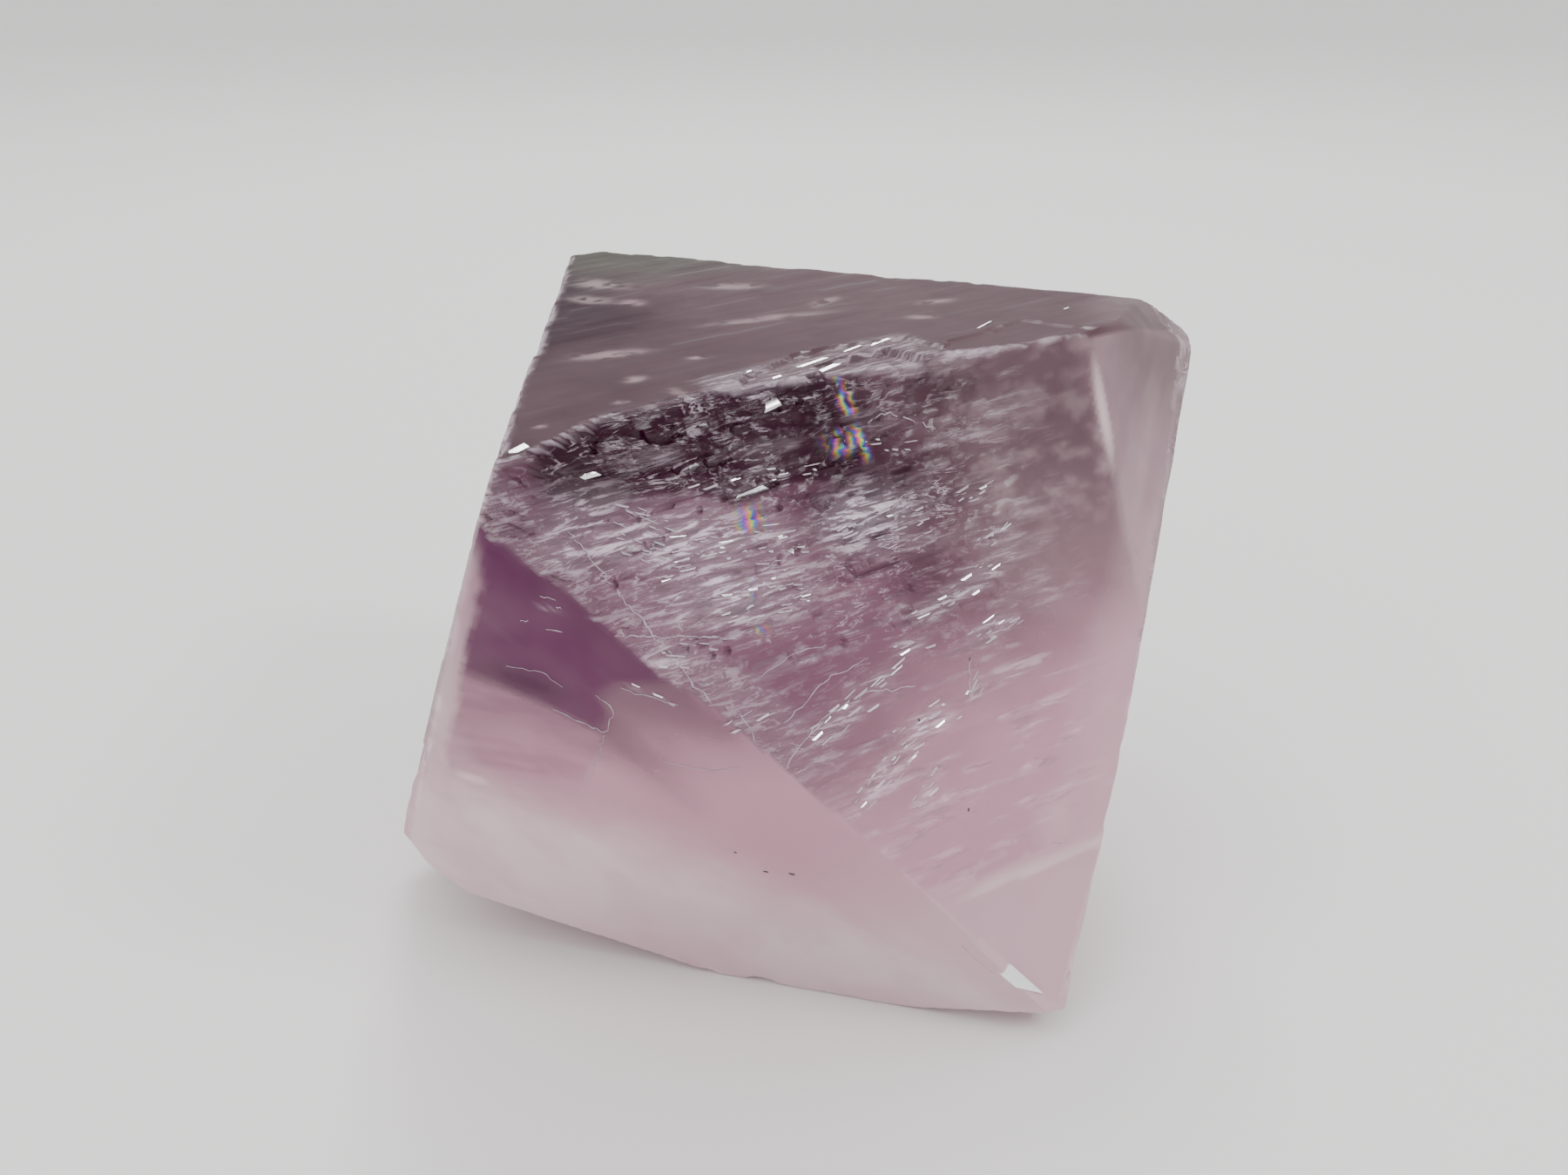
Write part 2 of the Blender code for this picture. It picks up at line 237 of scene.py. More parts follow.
def blob(u, v, cu, cv, ru, rv, turn=0.0):
    """A soft oval: e to the power -1.2 r cubed, r being the distance in half sizes from its middle."""
    cosine, sine = math.cos(math.radians(turn)), math.sin(math.radians(turn))
    x = (cosine * (u - cu) + sine * (v - cv)) / ru
    y = (-sine * (u - cu) + cosine * (v - cv)) / rv
    return np.exp(-1.2 * (x * x + y * y) ** 1.5)


def most(*shares):
    """The largest of several shares, point by point."""
    return np.maximum.reduce(shares)


def ovals(u, v, rows):
    """The strongest of several soft ovals: each row is a share, a middle (u, v), half sizes and a turn."""
    return most(*(share * blob(u, v, *oval) for share, *oval in rows))


# ---------------------------------------------------------------- distance from the middle to the skin
def reach(q, normal, point, depth=0.0):
    """How many times q goes from MIDDLE to a plane sunk by depth; infinite where it never does.

    It is the plane's distance from MIDDLE over q's part along the plane's normal.
    """
    slope = q @ normal
    away = np.full(slope.shape, np.inf)
    meets = slope > 1e-6
    gap = np.broadcast_to(normal @ (point - MIDDLE) - depth, slope.shape)
    away[meets] = gap[meets] / slope[meets]
    return away


def face_place(q, face):
    """(u, v) in mm where the rays q cross a face's plane."""
    away = np.minimum(reach(q, face[3], face[0]), FAR)
    return spot_on(MIDDLE + q * away[..., None], face)


def spot_on(points, face):
    """(u, v) of points seen square to a face."""
    return (points - face[0]) @ face[1], (points - face[0]) @ face[2]


def plane_of(points):
    """The outward normal and one point of the plane through three points."""
    a, b, c = (np.array(point) for point in points)
    normal = np.cross(b - a, c - a)
    normal /= np.linalg.norm(normal)
    return (normal, a) if normal @ (a - MIDDLE) > 0 else (-normal, a)


def within(u, v, corners, edge):
    """1 inside a straight-sided outline of (u, v) corners, falling to 0 over edge mm at its sides.

    The least of the distances inward from each side, put through smooth.
    """
    corners = np.array(corners)[:, :2]
    middle = corners.mean(axis=0)
    inside = np.full(np.shape(u), np.inf)
    for start, end in zip(corners, np.roll(corners, -1, axis=0)):
        run = (end - start) / np.linalg.norm(end - start)
        normal = np.array([-run[1], run[0]])
        side = (u - start[0]) * normal[0] + (v - start[1]) * normal[1]
        if (middle - start) @ normal < 0:
            side = -side
        inside = np.minimum(inside, side)
    return smooth(inside, 0.0, edge)


def dent(u, v, corners, edge=0.12):
    """Depth of a flat-bottomed hollow with a straight-sided outline, given as (u, v, depth) corners.

    Its floor is the plane that fits the corners best, never above the face.
    """
    corners = np.array(corners)
    fit, *_ = np.linalg.lstsq(np.c_[corners[:, :2], np.ones(len(corners))], corners[:, 2], rcond=None)
    floor = np.maximum(fit[0] * u + fit[1] * v + fit[2], 0.0)
    return floor * within(u, v, corners, edge)


def front_depth(q):
    """How far the front face lies below its plane.

    The brow is a plane tilted inward toward the top edge, shallower to the right. It is cut into
    treads of one step height, whose edges follow slanted blocks; finer blocks and single rows of cells
    give the broken, striated surface; soft waves and separate short ledges cover the rest.
    """
    origin, _, v_axis, w_axis = FRONT
    tilt = math.atan2(BROW_DEPTH, BROW_REACH)
    brow_normal = w_axis * math.cos(tilt) - v_axis * math.sin(tilt)
    slope = q @ w_axis
    fronting = slope > 0.05
    sunk = np.zeros(slope.shape)
    to_brow = reach(q[fronting], brow_normal, origin + v_axis * BROW_REACH)
    sunk[fronting] = (reach(q[fronting], w_axis, origin) - to_brow) * slope[fronting]
    sunk = np.where(np.isfinite(sunk), np.maximum(sunk, 0.0), 0.0)
    u, v = face_place(q, FRONT)
    left_limit = 0.45 * sunk + 0.8 * np.maximum(u - 0.3 - 0.44 * np.maximum(v - 1.5, 0.0), 0.0)
    sunk = np.minimum(sunk, left_limit) * (1 - 0.8 * smooth(u, 17.5, 28.0))
    sunk = sunk * smooth(STRIPE - u, -0.6, 0.9)
    level = sunk / STEP
    broken = smooth(25.0 - u, 0.0, 4.5)
    ragged = 0.8 * (blocks(u, v, *LEDGE, 11) - 0.5) + 1.0 * (layered(u / 2.6, v / 0.9, 12) - 0.5)
    tread = np.floor(np.maximum(level + ragged * np.minimum(level, 1.0), 0.0))
    depth = sunk + 0.55 * broken * (STEP * tread - sunk)
    upper = smooth(level, 0.15, 1.5) * broken
    crumbs = blocks(u, v, *CRUMB, 13) * smooth(layered(u / 1.6, v / 0.7, 18), 0.45, 0.6)
    depth = depth + 0.10 * upper * crumbs
    striated = blob(u, v, 9.0, 5.5, 8.5, 3.6) + blob(u, v, 16.2, 5.6, 3.0, 2.2)
    depth = depth + 0.11 * np.clip(striated, 0, 1) * blocks(u, v, *STRIA, 14) ** 2
    depth = depth + 0.10 * (layered(u / 5.0, v / 5.0, 15) - 0.5) * (1 - upper)
    patch = smooth(layered(u / 3.6, v / 2.4, 16), 0.52, 0.60)
    return depth + 0.05 * patch * (1 - upper) * (blocks(u, v, *LOW_LEDGE, 17) > 0.6)


def top_depth(q):
    """Shelves stepped down behind the brow, thin lifted flakes and soft waves on the top face."""
    u, v = face_place(q, TOP)
    wander = 0.5 * (blocks(u, v, 2.2, 3.0, 21) - 0.5) + 0.25 * (blocks(u, v, 0.9, 3.0, 22) - 0.5)
    depth = most(np.zeros(np.shape(u)), *(dent(u, v + wander, shelf, 0.1) for shelf in SHELVES))
    for cu, cv, length, width, heading in TOP_FLAKES:
        depth = depth + 0.03 * blob(u, v, cu, cv, length, width, heading)
    return depth + 0.10 * (layered(u / 6.0, v / 6.0, 24) - 0.5) + 0.03 * blocks(u, v, 3.4, 0.9, 25)


def plain_depth(q, face, seed, steps=0.17):
    """Soft waves, broad low steps that follow the face's edges, and patches of narrow ones."""
    u, v = face_place(q, face)
    low = blocks(u, v, 6.5, 1.6, seed + 1) * smooth(layered(u / 7, v / 5, seed + 3), 0.4, 0.6)
    narrow = blocks(u, v, 2.6, 0.45, seed + 4) ** 2 * smooth(layered(u / 5, v / 3, seed + 6), 0.52, 0.62)
    return 0.12 * (layered(u / 6, v / 6, seed) - 0.5) + steps * (low + 0.7 * narrow)


def chipping(q, number):
    """The plane that takes the sharpness off one edge: its normal, a point on it and its depth.

    The depth is a quarter of a mm, plus fine noise along the edge, plus chips and rarer, deeper bites
    where two slower noises rise above a limit, all times how badly that edge is chipped.
    """
    one, other, start, end, share = EDGES[number]
    normal = (one[3] + other[3]) / np.linalg.norm(one[3] + other[3])
    run = (end - start) / np.linalg.norm(end - start)
    near = np.minimum(reach(q, normal, start), FAR)
    along = (q * near[..., None] + MIDDLE - start) @ run
    chips = smooth(noise(along / 0.9, along * 0, 91 + number), 0.62, 0.9)
    bites = smooth(noise(along / 2.7, along * 0, 111 + number), 0.78, 0.92)
    depth = 0.25 + 0.5 * noise(along * 2.3, along * 0, 131 + number) + chips + 1.6 * bites
    if number == 0:
        depth = depth * (1.0 - 0.75 * smooth(along, 12.0, 20.0))
    return normal, start, depth * share


def number_of(face):
    """A face's place in FACES."""
    return next(number for number, item in enumerate(FACES) if item is face)


def on_face(face, u, v, depth=0.0):
    """The point at (u, v), sunk by depth, on a face's plane."""
    u, v, depth = np.asarray(u), np.asarray(v), np.asarray(depth)
    spot = face[0] + u[..., None] * face[1] + v[..., None] * face[2]
    return spot - depth[..., None] * face[3]


def cuts(q):
    """How far out each ray meets every plane of the crystal, in mm.

    One row for each of the eight faces, then for each broken tip, the bevel and each chipped edge.
    """
    notch = dent(*face_place(q, LOWER), FOOT_NOTCH)
    depths = [front_depth(q), top_depth(q), plain_depth(q, LOWER, 31, 0.04) + notch]
    sides = ((41, LEFT), (51, RIGHT_BACK), (61, BACK), (71, LEFT_BACK))
    depths += [plain_depth(q, face, seed) for seed, face in sides] + [0.0]
    planes = [(face[3], face[0], depth) for face, depth in zip(FACES, depths)]
    rough = 0.08 * layered(q[..., 0] * 0.9 + q[..., 2], q[..., 1] * 0.9 - q[..., 2], 81)
    planes += [(*plane_of(points), rough) for points in BROKEN_TIPS.values()]
    planes.append(plane_of([on_face(LOWER, *spot) for spot in LEFT_BEVEL]))
    planes += [chipping(q, number) for number in range(len(EDGES))]
    return np.stack([reach(q, *plane) for plane in planes]) * np.linalg.norm(q, axis=-1)


def skin(q):
    """How many times q reaches from MIDDLE to the crystal's skin: a soft least of all its cuts.

    The nearest cut, less ROUNDING times the log of the summed e to the power -gap / ROUNDING, where
    each gap is how much further a cut lies than the nearest, 60 times ROUNDING at most.
    """
    away = cuts(q)
    nearest = away.min(axis=0)
    shares = np.exp(-np.minimum((away - nearest) / ROUNDING, 60.0)).sum(axis=0)
    return (nearest - ROUNDING * np.log(shares)) / np.linalg.norm(q, axis=-1)


def neighbours(q):
    """Each ray's face, how much further the next face lies, that face, and where a broken tip is nearer."""
    away = cuts(q)
    flat = away[: len(FACES)]
    order = np.argsort(flat, axis=0)[:2]
    near, far = np.take_along_axis(flat, order, axis=0)
    tip = away[len(FACES) : len(FACES) + len(BROKEN_TIPS)].min(axis=0) < near - 0.02
    return order[0], far - near, order[1], tip


def skin_point(face, u, v, sunk=0.0):
    """The crystal's real surface, sunk by some mm, behind the point (u, v) of a face's plane."""
    q = on_face(face, u, v) - MIDDLE
    return MIDDLE + q * skin(q)[..., None] - np.asarray(sunk)[..., None] * face[3]


# ---------------------------------------------------------------- meshes
def make_piece(name, points, faces, material, smooth_angle=None):
    """One closed piece at the origin, riding on the body, from points in mm about the middle line."""
    mesh = bpy.data.meshes.new(name)
    mesh.from_pydata(((points - SHIFT) * MM).tolist(), [], [list(face) for face in faces])
    if mesh.validate() or len(mesh.vertices) != len(points):
        raise RuntimeError(f"{name} has faces that can't be built")
    mesh.materials.append(material)
    if smooth_angle is not None:
        mesh.shade_smooth()
        mesh.set_sharp_from_angle(angle=math.radians(smooth_angle))
    piece = bpy.data.objects.new(name, mesh)
    bpy.context.scene.collection.objects.link(piece)
    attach(piece, BODY)
    return piece


def face_outward(piece):
    """Turn a closed piece's faces outward."""
    work = bmesh.new()
    work.from_mesh(piece.data)
    bmesh.ops.recalc_face_normals(work, faces=work.faces)
    work.to_mesh(piece.data)
    work.free()


def joined(shells):
    """The points and the faces of several shells as one list of each."""
    counts = np.cumsum([0] + [len(points) for points, _ in shells])
    faces = [own + count for (_, own), count in zip(shells, counts)]
    return np.vstack([points for points, _ in shells]), np.vstack(faces)


def lay_uv(mesh, points, triangles, owner):
    """A map in mm on each face's own u and v axes, so that streaks follow the cleavage.

    Each face's part starts 60 mm further along than the one before it.
    """
    best = owner[triangles].min(axis=1)
    uv = np.zeros((len(triangles), 3, 2))
    for number, face in enumerate(FACES):
        chosen = best == number
        u, v = spot_on(points[triangles[chosen]], face)
        uv[chosen] = np.stack([u + 60.0 * number, v], axis=-1)
    mesh.uv_layers.new(name="cleavage").data.foreach_set("uv", uv.reshape(-1).astype(np.float32))


def octahedral_grid(cells):
    """Whole-number triples whose sizes add up to cells, and the triangles between them.

    One of the eight triangular faces is laid out by its rows and columns, then repeated with every
    choice of signs, turned over where the signs' product is negative, and joined where triples agree.
    """
    rows, columns = np.meshgrid(np.arange(cells + 1), np.arange(cells + 1), indexing="ij")
    inside = rows + columns <= cells
    a, b = rows[inside], columns[inside]
    c = cells - a - b
    number = np.full((cells + 2, cells + 2), -1)
    number[a, b] = np.arange(len(a))
    i, j = a[c > 0], b[c > 0]
    up = np.c_[number[i, j], number[i + 1, j], number[i, j + 1]]
    i, j = a[c > 1], b[c > 1]
    down = np.c_[number[i + 1, j], number[i + 1, j + 1], number[i, j + 1]]
    triangles = np.vstack([up, down])
    shells = []
    for signs in ((x, y, z) for x in (1, -1) for y in (1, -1) for z in (1, -1)):
        shells.append((np.c_[a, b, c] * signs, triangles if np.prod(signs) > 0 else triangles[:, ::-1]))
    corners, triangles = joined(shells)
    keys = (corners + cells) @ np.array([(2 * cells + 1) ** 2, 2 * cells + 1, 1])
    _, first, shared = np.unique(keys, return_index=True, return_inverse=True)
    return corners[first], shared.reshape(-1)[triangles]


def crystal_points(cells):
    """The crystal's skin: each grid triple gives a ray from MIDDLE, cut off at the nearest plane.

    The points are held inside the CAD model's box, and none lies below the floor.
    """
    triples, triangles = octahedral_grid(cells)
    q = np.zeros((len(triples), 3))
    for axis, (plus, minus) in enumerate(GRID_CORNERS):
        share = triples[:, axis : axis + 1] / cells
        q += np.where(share > 0, share * (plus - MIDDLE), -share * (minus - MIDDLE))
    low = BOX_LOW + SHIFT + INSET
    low[2] = 0.0
    points = np.clip(MIDDLE + q * skin(q)[:, None], low, BOX_HIGH + SHIFT - INSET)
    a, b, c = (points[triangles[:, k]] for k in range(3))
    outward = np.einsum("ij,ij->i", np.cross(b - a, c - a), a - MIDDLE)
    return points, triangles if outward.sum() > 0 else triangles[:, ::-1]


SHARD_FACES = np.array(
    [[0, 3, 2, 1], [4, 5, 6, 7], [0, 1, 5, 4], [1, 2, 6, 5], [2, 3, 7, 6], [3, 0, 4, 7]]
)
# How deep a shard stands in the skin, and how far its sides lean along it, as a share of its width.
SHARD_ROOT = 0.12
SHARD_LEAN = 0.29


def shards(centres, along, across, outward, sizes):
    """Thin slanted plates: a four-sided foot and, above it, a smaller, tilted top.

    The foot's corners lie half a length along and half a width across from each centre, leaning, and
    the top's corners over them are drawn in by part of the half length. sizes holds length, width,
    thickness at one long side and thickness at the other, in mm.
    """
    length, width, thin, thick = (sizes[:, k : k + 1] for k in range(4))
    half, wide, lean = 0.5 * length * along, 0.5 * width * across, SHARD_LEAN * width * along
    low = centres - SHARD_ROOT * outward
    foot = [low - half - wide - lean, low + half - wide - lean]
    foot += [low + half * 0.8 + wide + lean, low - half * 0.8 + wide + lean]
    tops = zip(foot, (thin, thin, thick, thick), (0.2, -0.25, -0.3, 0.15))
    top = [corner + (SHARD_ROOT + rise) * outward + drawn * half for corner, rise, drawn in tops]
    points = np.stack(foot + top, axis=1).reshape(-1, 3)
    faces = (SHARD_FACES[None] + 8 * np.arange(len(centres))[:, None, None]).reshape(-1, 4)
    flip = np.einsum("ij,ij->i", np.cross(along, across), outward).mean() < 0
    return points, faces[:, ::-1] if flip else faces


# ---------------------------------------------------------------- materials
# Noise cells per metre, from their sizes: clouds 5.9 mm, bruises 0.67 mm, and the grain of air films
# 0.71 mm, of splinters 1.1 mm, of the painted glint 0.4 mm and of dark grains 0.17 mm.
CLOUDS, BRUISES, FILM_GRAIN = 170.0, 1500.0, 1400.0
SPLINTER_GRAIN, GLINT_GRAIN, DARK_GRAIN = 900.0, 2500.0, 6000.0
# Cells per mm of the cleavage map: streaks 1.8 mm long and 0.3 mm wide, wires 2.4 by 0.56 mm.
STREAKS = (0.55, 3.4, 1.0)
WIRES = (0.4125, 1.8, 0.75)
# Bands of colour per mm along and across a film of air, and how far the wires push them.
FRINGES = (1.7, 0.3, 1.8)
SPECTRUM = ("#d24fb4", "#e8924a", "#e6d65c", "#4fc98a", "#4a6fe0", "#7a4fd0", "#d24fb4")
FLUORITE_IOR = 1.434
FIELDS = ("dark", "purple", "pink", "pale", "green", "frost", "lines", "milk", "rim", "film")


def linear(code):
    """A hex sRGB colour turned into linear light."""
    channels = [int(code[k : k + 2], 16) / 255 for k in (1, 3, 5)]
    return [c / 12.92 if c <= 0.04045 else ((c + 0.055) / 1.055) ** 2.4 for c in channels] + [1.0]


def feed(tree, node, feeds):
    """Give a node's inputs, by name or number, a value each or the socket that feeds them."""
    for place, value in feeds.items():
        if isinstance(value, bpy.types.NodeSocket):
            tree.links.new(value, node.inputs[place])
        else:
            node.inputs[place].default_value = value


def add_node(tree, kind, feeds=(), output=0, **settings):
    """Add a node with its settings, feed its inputs, given in order or by name, and return an output."""
    node = tree.nodes.new("ShaderNode" + kind)
    for name, value in settings.items():
        setattr(node, name, value)
    feed(tree, node, feeds if isinstance(feeds, dict) else dict(enumerate(feeds)))
    return node.outputs[output]


def add_products(tree, total, *pairs, clamp=True):
    """A total plus the product of each pair, held from 0 to 1 where clamp is set."""
    for pair in pairs:
        total = add_node(tree, "Math", (*pair, total), operation="MULTIPLY_ADD", use_clamp=clamp)
    return total


def set_stops(gradient, stops):
    """Set the stops of the colour ramp behind a socket, given as places and colours; return the socket."""
    elements = gradient.node.color_ramp.elements
    for number, (place, colour) in enumerate(stops):
        stop = elements[number] if number < 2 else elements.new(place)
        stop.position = place
        stop.color = colour
    return gradient


def new_material(name):
    """A node material, its tree and its Principled shader."""
    material = bpy.data.materials.new(name)
    material.use_nodes = True
    return material, material.node_tree, material.node_tree.nodes["Principled BSDF"]


def grained_material(name, per_metre, detail, one, other):
    """A material whose colour wavers from one to another with a grain: with its tree, shader and grain."""
    material, tree, shader = new_material(name)
    place = add_node(tree, "TexCoord", output="Object")
    grain = add_node(tree, "TexNoise", {"Vector": place, "Scale": per_metre, "Detail": detail})
    colour = add_node(tree, "Mix", {0: grain, 6: one, 7: other}, 2, data_type="RGBA")
    feed(tree, shader, {"Base Color": colour})
    return material, tree, shader, grain


def crystal_material(colours):
    """Cleaved purple fluorite: clear, colour-zoned, with bruised white cleavage near its brow.

    Fluorite splits to a bright glassy face, so the clean faces are nearly polished. The brow and the
    struck ridges are crowded with tiny steps and cracks, which scatter light and look white.
    """
    material, tree, shader = new_material("purple_fluorite")
    add = functools.partial(add_node, tree)
    place = add("TexCoord", output="Object")
    laid = add("UVMap", uv_map="cleavage")
    along = add("Mapping", {"Vector": laid, "Rotation": (0.0, 0.0, -0.06), "Scale": STREAKS})
    bent = add("Mapping", {"Vector": laid, "Scale": WIRES})
    cloud, fine, streak, wire = (
        add("TexNoise", dict(zip(("Vector", "Scale", "Detail", "Roughness", "Distortion"), row)))
        for row in (
            (place, CLOUDS, 2.0, 0.6, 0.6),
            (place, BRUISES, 5.0, 0.65, 0.0),
            (along, 1.0, 6.0, 0.68, 0.45),
            (bent, 1.0, 4.0, 0.62, 0.9),
        )
    )
    dark, purple, pink, pale, green, frost, lines, milk, rim, film = (
        add("Attribute", output="Fac", attribute_name=name) for name in FIELDS
    )
    # The purple and the pale zones are cloudy.
    drift = add_products(tree, -0.45, (cloud, 0.9), clamp=False)
    purple = add_products(tree, purple, (drift, purple))
    pale = add_products(tree, pale, (drift, pale))

    # White streaks where the face is frosted, with painted shade in the grooves between them, and thin
    # white wires, where a noise crosses its middle value, where it is cracked.
    smoothly = {"interpolation_type": "SMOOTHSTEP"}
    streaks = add("MapRange", (streak, 0.50, 0.60, 0.2, 0.95), **smoothly)
    painted_groove_shade = add("MapRange", (streak, 0.40, 0.47, 0.75, 0.0), **smoothly)
    painted_groove_shade = add("Math", (painted_groove_shade, frost), operation="MULTIPLY")
    gap = add("Math", (wire, 0.5), operation="SUBTRACT")
    gap = add("Math", (gap,), operation="ABSOLUTE")
    thin = add("MapRange", (gap, 0.0, 0.04, 1.0, 0.0), **smoothly)
    bruised = add("MapRange", (fine, 0.42, 0.6), **smoothly)
    thin = add("Math", (thin, bruised), operation="MULTIPLY")
    thin = add("Math", (thin, lines), operation="MULTIPLY")
    broken = add("Math", (frost, streaks), operation="MULTIPLY")
    broken = add("Math", (broken, thin), operation="MAXIMUM", use_clamp=True)

    colour = colours.mauve
    for share, over in (
        (pink, colours.pink),
        (green, colours.grey_green),
        (purple, colours.purple),
        (pale, colours.pale),
        (dark, colours.dark),
        # Painted shade in the grooves between the white streaks.
        (painted_groove_shade, colours.dark),
        (broken, colours.frost),
        # Painted highlight along the edges, partly chipping, in the frost colour.
        (add("Math", (rim, 0.6), operation="MULTIPLY"), colours.frost),
        (film, spectrum(tree, laid, wire)),
    ):
        colour = add("Mix", {0: share, 6: colour, 7: over}, 2, data_type="RGBA")

    deep = add("Math", (dark, purple), operation="MAXIMUM")
    clear = add_products(tree, 0.62, (milk, -0.34), (rim, -0.4), (broken, -0.5), (deep, -0.3))
    satin = add_products(tree, 0.14, (milk, 0.24), (broken, 0.15))
    height = add_products(tree, 0.0, (wire, lines), (streak, frost), (cloud, 0.05), clamp=False)
    feed(tree, shader, {
        "Base Color": colour,
        "IOR": FLUORITE_IOR,
        # The stage is bright all round, so the faces' own shine is held back.
        "Specular IOR Level": 0.3,
        "Transmission Weight": clear,
        "Roughness": satin,
        "Normal": add("Bump", {"Strength": 0.8, "Distance": 0.25 * MM, "Height": height}),
    })
    tint = add("VolumeAbsorption", {"Color": colours.tint, "Density": 8.0})
    feed(tree, tree.nodes["Material Output"], {"Volume": tint})
    return material


def spectrum(tree, laid, wander):
    """The colours of a thin film of air in a crack: bands that repeat every millimetre or so."""
    split = add_node(tree, "SeparateXYZ", (laid,)).node.outputs
    pushes = zip((split[0], split[1], wander), FRINGES)
    run = add_products(tree, 0.0, *pushes, clamp=False)
    bands = add_node(tree, "ValToRGB", (add_node(tree, "Math", (run,), operation="FRACT"),))
    steps = len(SPECTRUM) - 1
    return set_stops(bands, [(number / steps, linear(code)) for number, code in enumerate(SPECTRUM)])


def air_film_material(colours):
    """Cracks that hold a skin of air: they turn light back whole, so they flash like silver."""
    flash = colours.flash
    material, tree, shader, grain = grained_material("air_cracks", FILM_GRAIN, 3.0, flash, flash)
    rough = add_node(tree, "Math", (grain, 0.4), operation="MULTIPLY")
    bump = add_node(tree, "Bump", {"Strength": 0.3, "Distance": 0.05 * MM, "Height": grain})
    feed(tree, shader, {"Metallic": 0.85, "Roughness": rough, "Normal": bump})
    return material


def splinter_material(colours):
    """Cleavage splinters: clear chips whose broken sides throw back white light."""
    material, tree, shader, grain = grained_material(
        "cleavage_splinters", SPLINTER_GRAIN, 3.0, colours.frost, colours.splinter
    )
    rough = add_node(tree, "Math", (grain, 0.35), operation="MULTIPLY")
    feed(tree, shader, {"IOR": FLUORITE_IOR, "Transmission Weight": 0.45, "Roughness": rough})
    return material


def painted_glint_material(colours):
    """A painted glint: plain white with a fine grain, standing in for the light that a chip reflects."""
    material, tree, shader, _ = grained_material(
        "fresh_break", GLINT_GRAIN, 3.0, colours.glint_white, colours.glint_white_shade
    )
    feed(tree, shader, {"Roughness": 0.25})
    return material


def grain_material(colours):
    """Dark grains of another mineral caught in the crystal as it grew: dull and finely rough."""
    material, tree, shader, _ = grained_material(
        "dark_grains", DARK_GRAIN, 2.0, colours.grain, colours.grain_shade
    )
    feed(tree, shader, {"Roughness": 0.6})
    return material


def stage_material(colour):
    """Plain pale matt card, rolled smooth and uncoated."""
    material, tree, shader = new_material("pale_card")
    feed(tree, shader, {"Base Color": colour, "Roughness": 0.9})
    return material


# ---------------------------------------------------------------- where the colour and the frost lie
# Soft ovals on the front face: share, middle (u, v), half sizes and turn.
DARK_OVALS = (
    (0.85, 16.5, 4.4, 5.5, 2.6),
    (0.45, 17.6, 7.5, 2.0, 3.2, 10.0),
    (0.75, 20.8, 0.9, 3.6, 1.5),
)
MILKY_OVALS = ((1.0, 7.6, 4.3, 5.4, 1.35, 12.0), (0.85, 8.8, 6.6, 4.2, 1.6, 8.0))
FROST_OVALS = (
    (1.0, 15.9, 5.4, 2.6, 1.5, -3.0),
    (1.0, 8.8, 6.9, 3.2, 1.3, 4.0),
    (0.75, 3.4, 3.0, 2.6, 1.9),
)
PALE_OVALS = ((0.35, 28.5, 8.5, 0.5, 3.6, 2.0), (0.35, 21.6, 20.2, 1.5, 1.6))
# Colour fringes on the front face.
RAINBOWS = (
    (1.0, 10.8, 4.15, 0.85, 0.5),
    (1.0, 16.9, 0.5, 0.35, 1.0),
    (1.0, 16.0, 2.1, 0.8, 0.5),
    (1.0, 16.9, 2.3, 0.3, 0.9),
    (1.0, 9.8, 6.6, 0.25, 0.45),
    (1.0, 9.6, 8.2, 0.25, 0.3),
)
# Where the purple zone ends on the lower face: a row of v, then the edge's u at each.
PURPLE_EDGE = (
    (0.0, 2.5, 3.8, 4.6, 5.4, 6.05, 6.75, 7.6, 8.5, 10.0),
    (10.6, 9.2, 9.4, 10.4, 10.7, 9.3, 7.9, 6.2, 4.8, 3.5),
)
# The crest where the foot turns away from the front face: a row of u, then the crest's v at each.
CREST = ((13.0, 15.0, 17.8, 20.3, 23.0, 26.0), (22.6, 21.85, 21.9, 22.0, 22.1, 22.1))
# The small pale facet at the right foot, as (u, v) corners on the lower face.
FOOT_FACET = ((28.8, -0.1), (30.2, -0.1), (30.8, 1.0), (29.4, 1.3))
FAR_TIP = np.array([18.4, 0.3, 28.0])


def points_off(points, normal, point):
    """How deep points lie below a plane."""
    return (point - points) @ normal


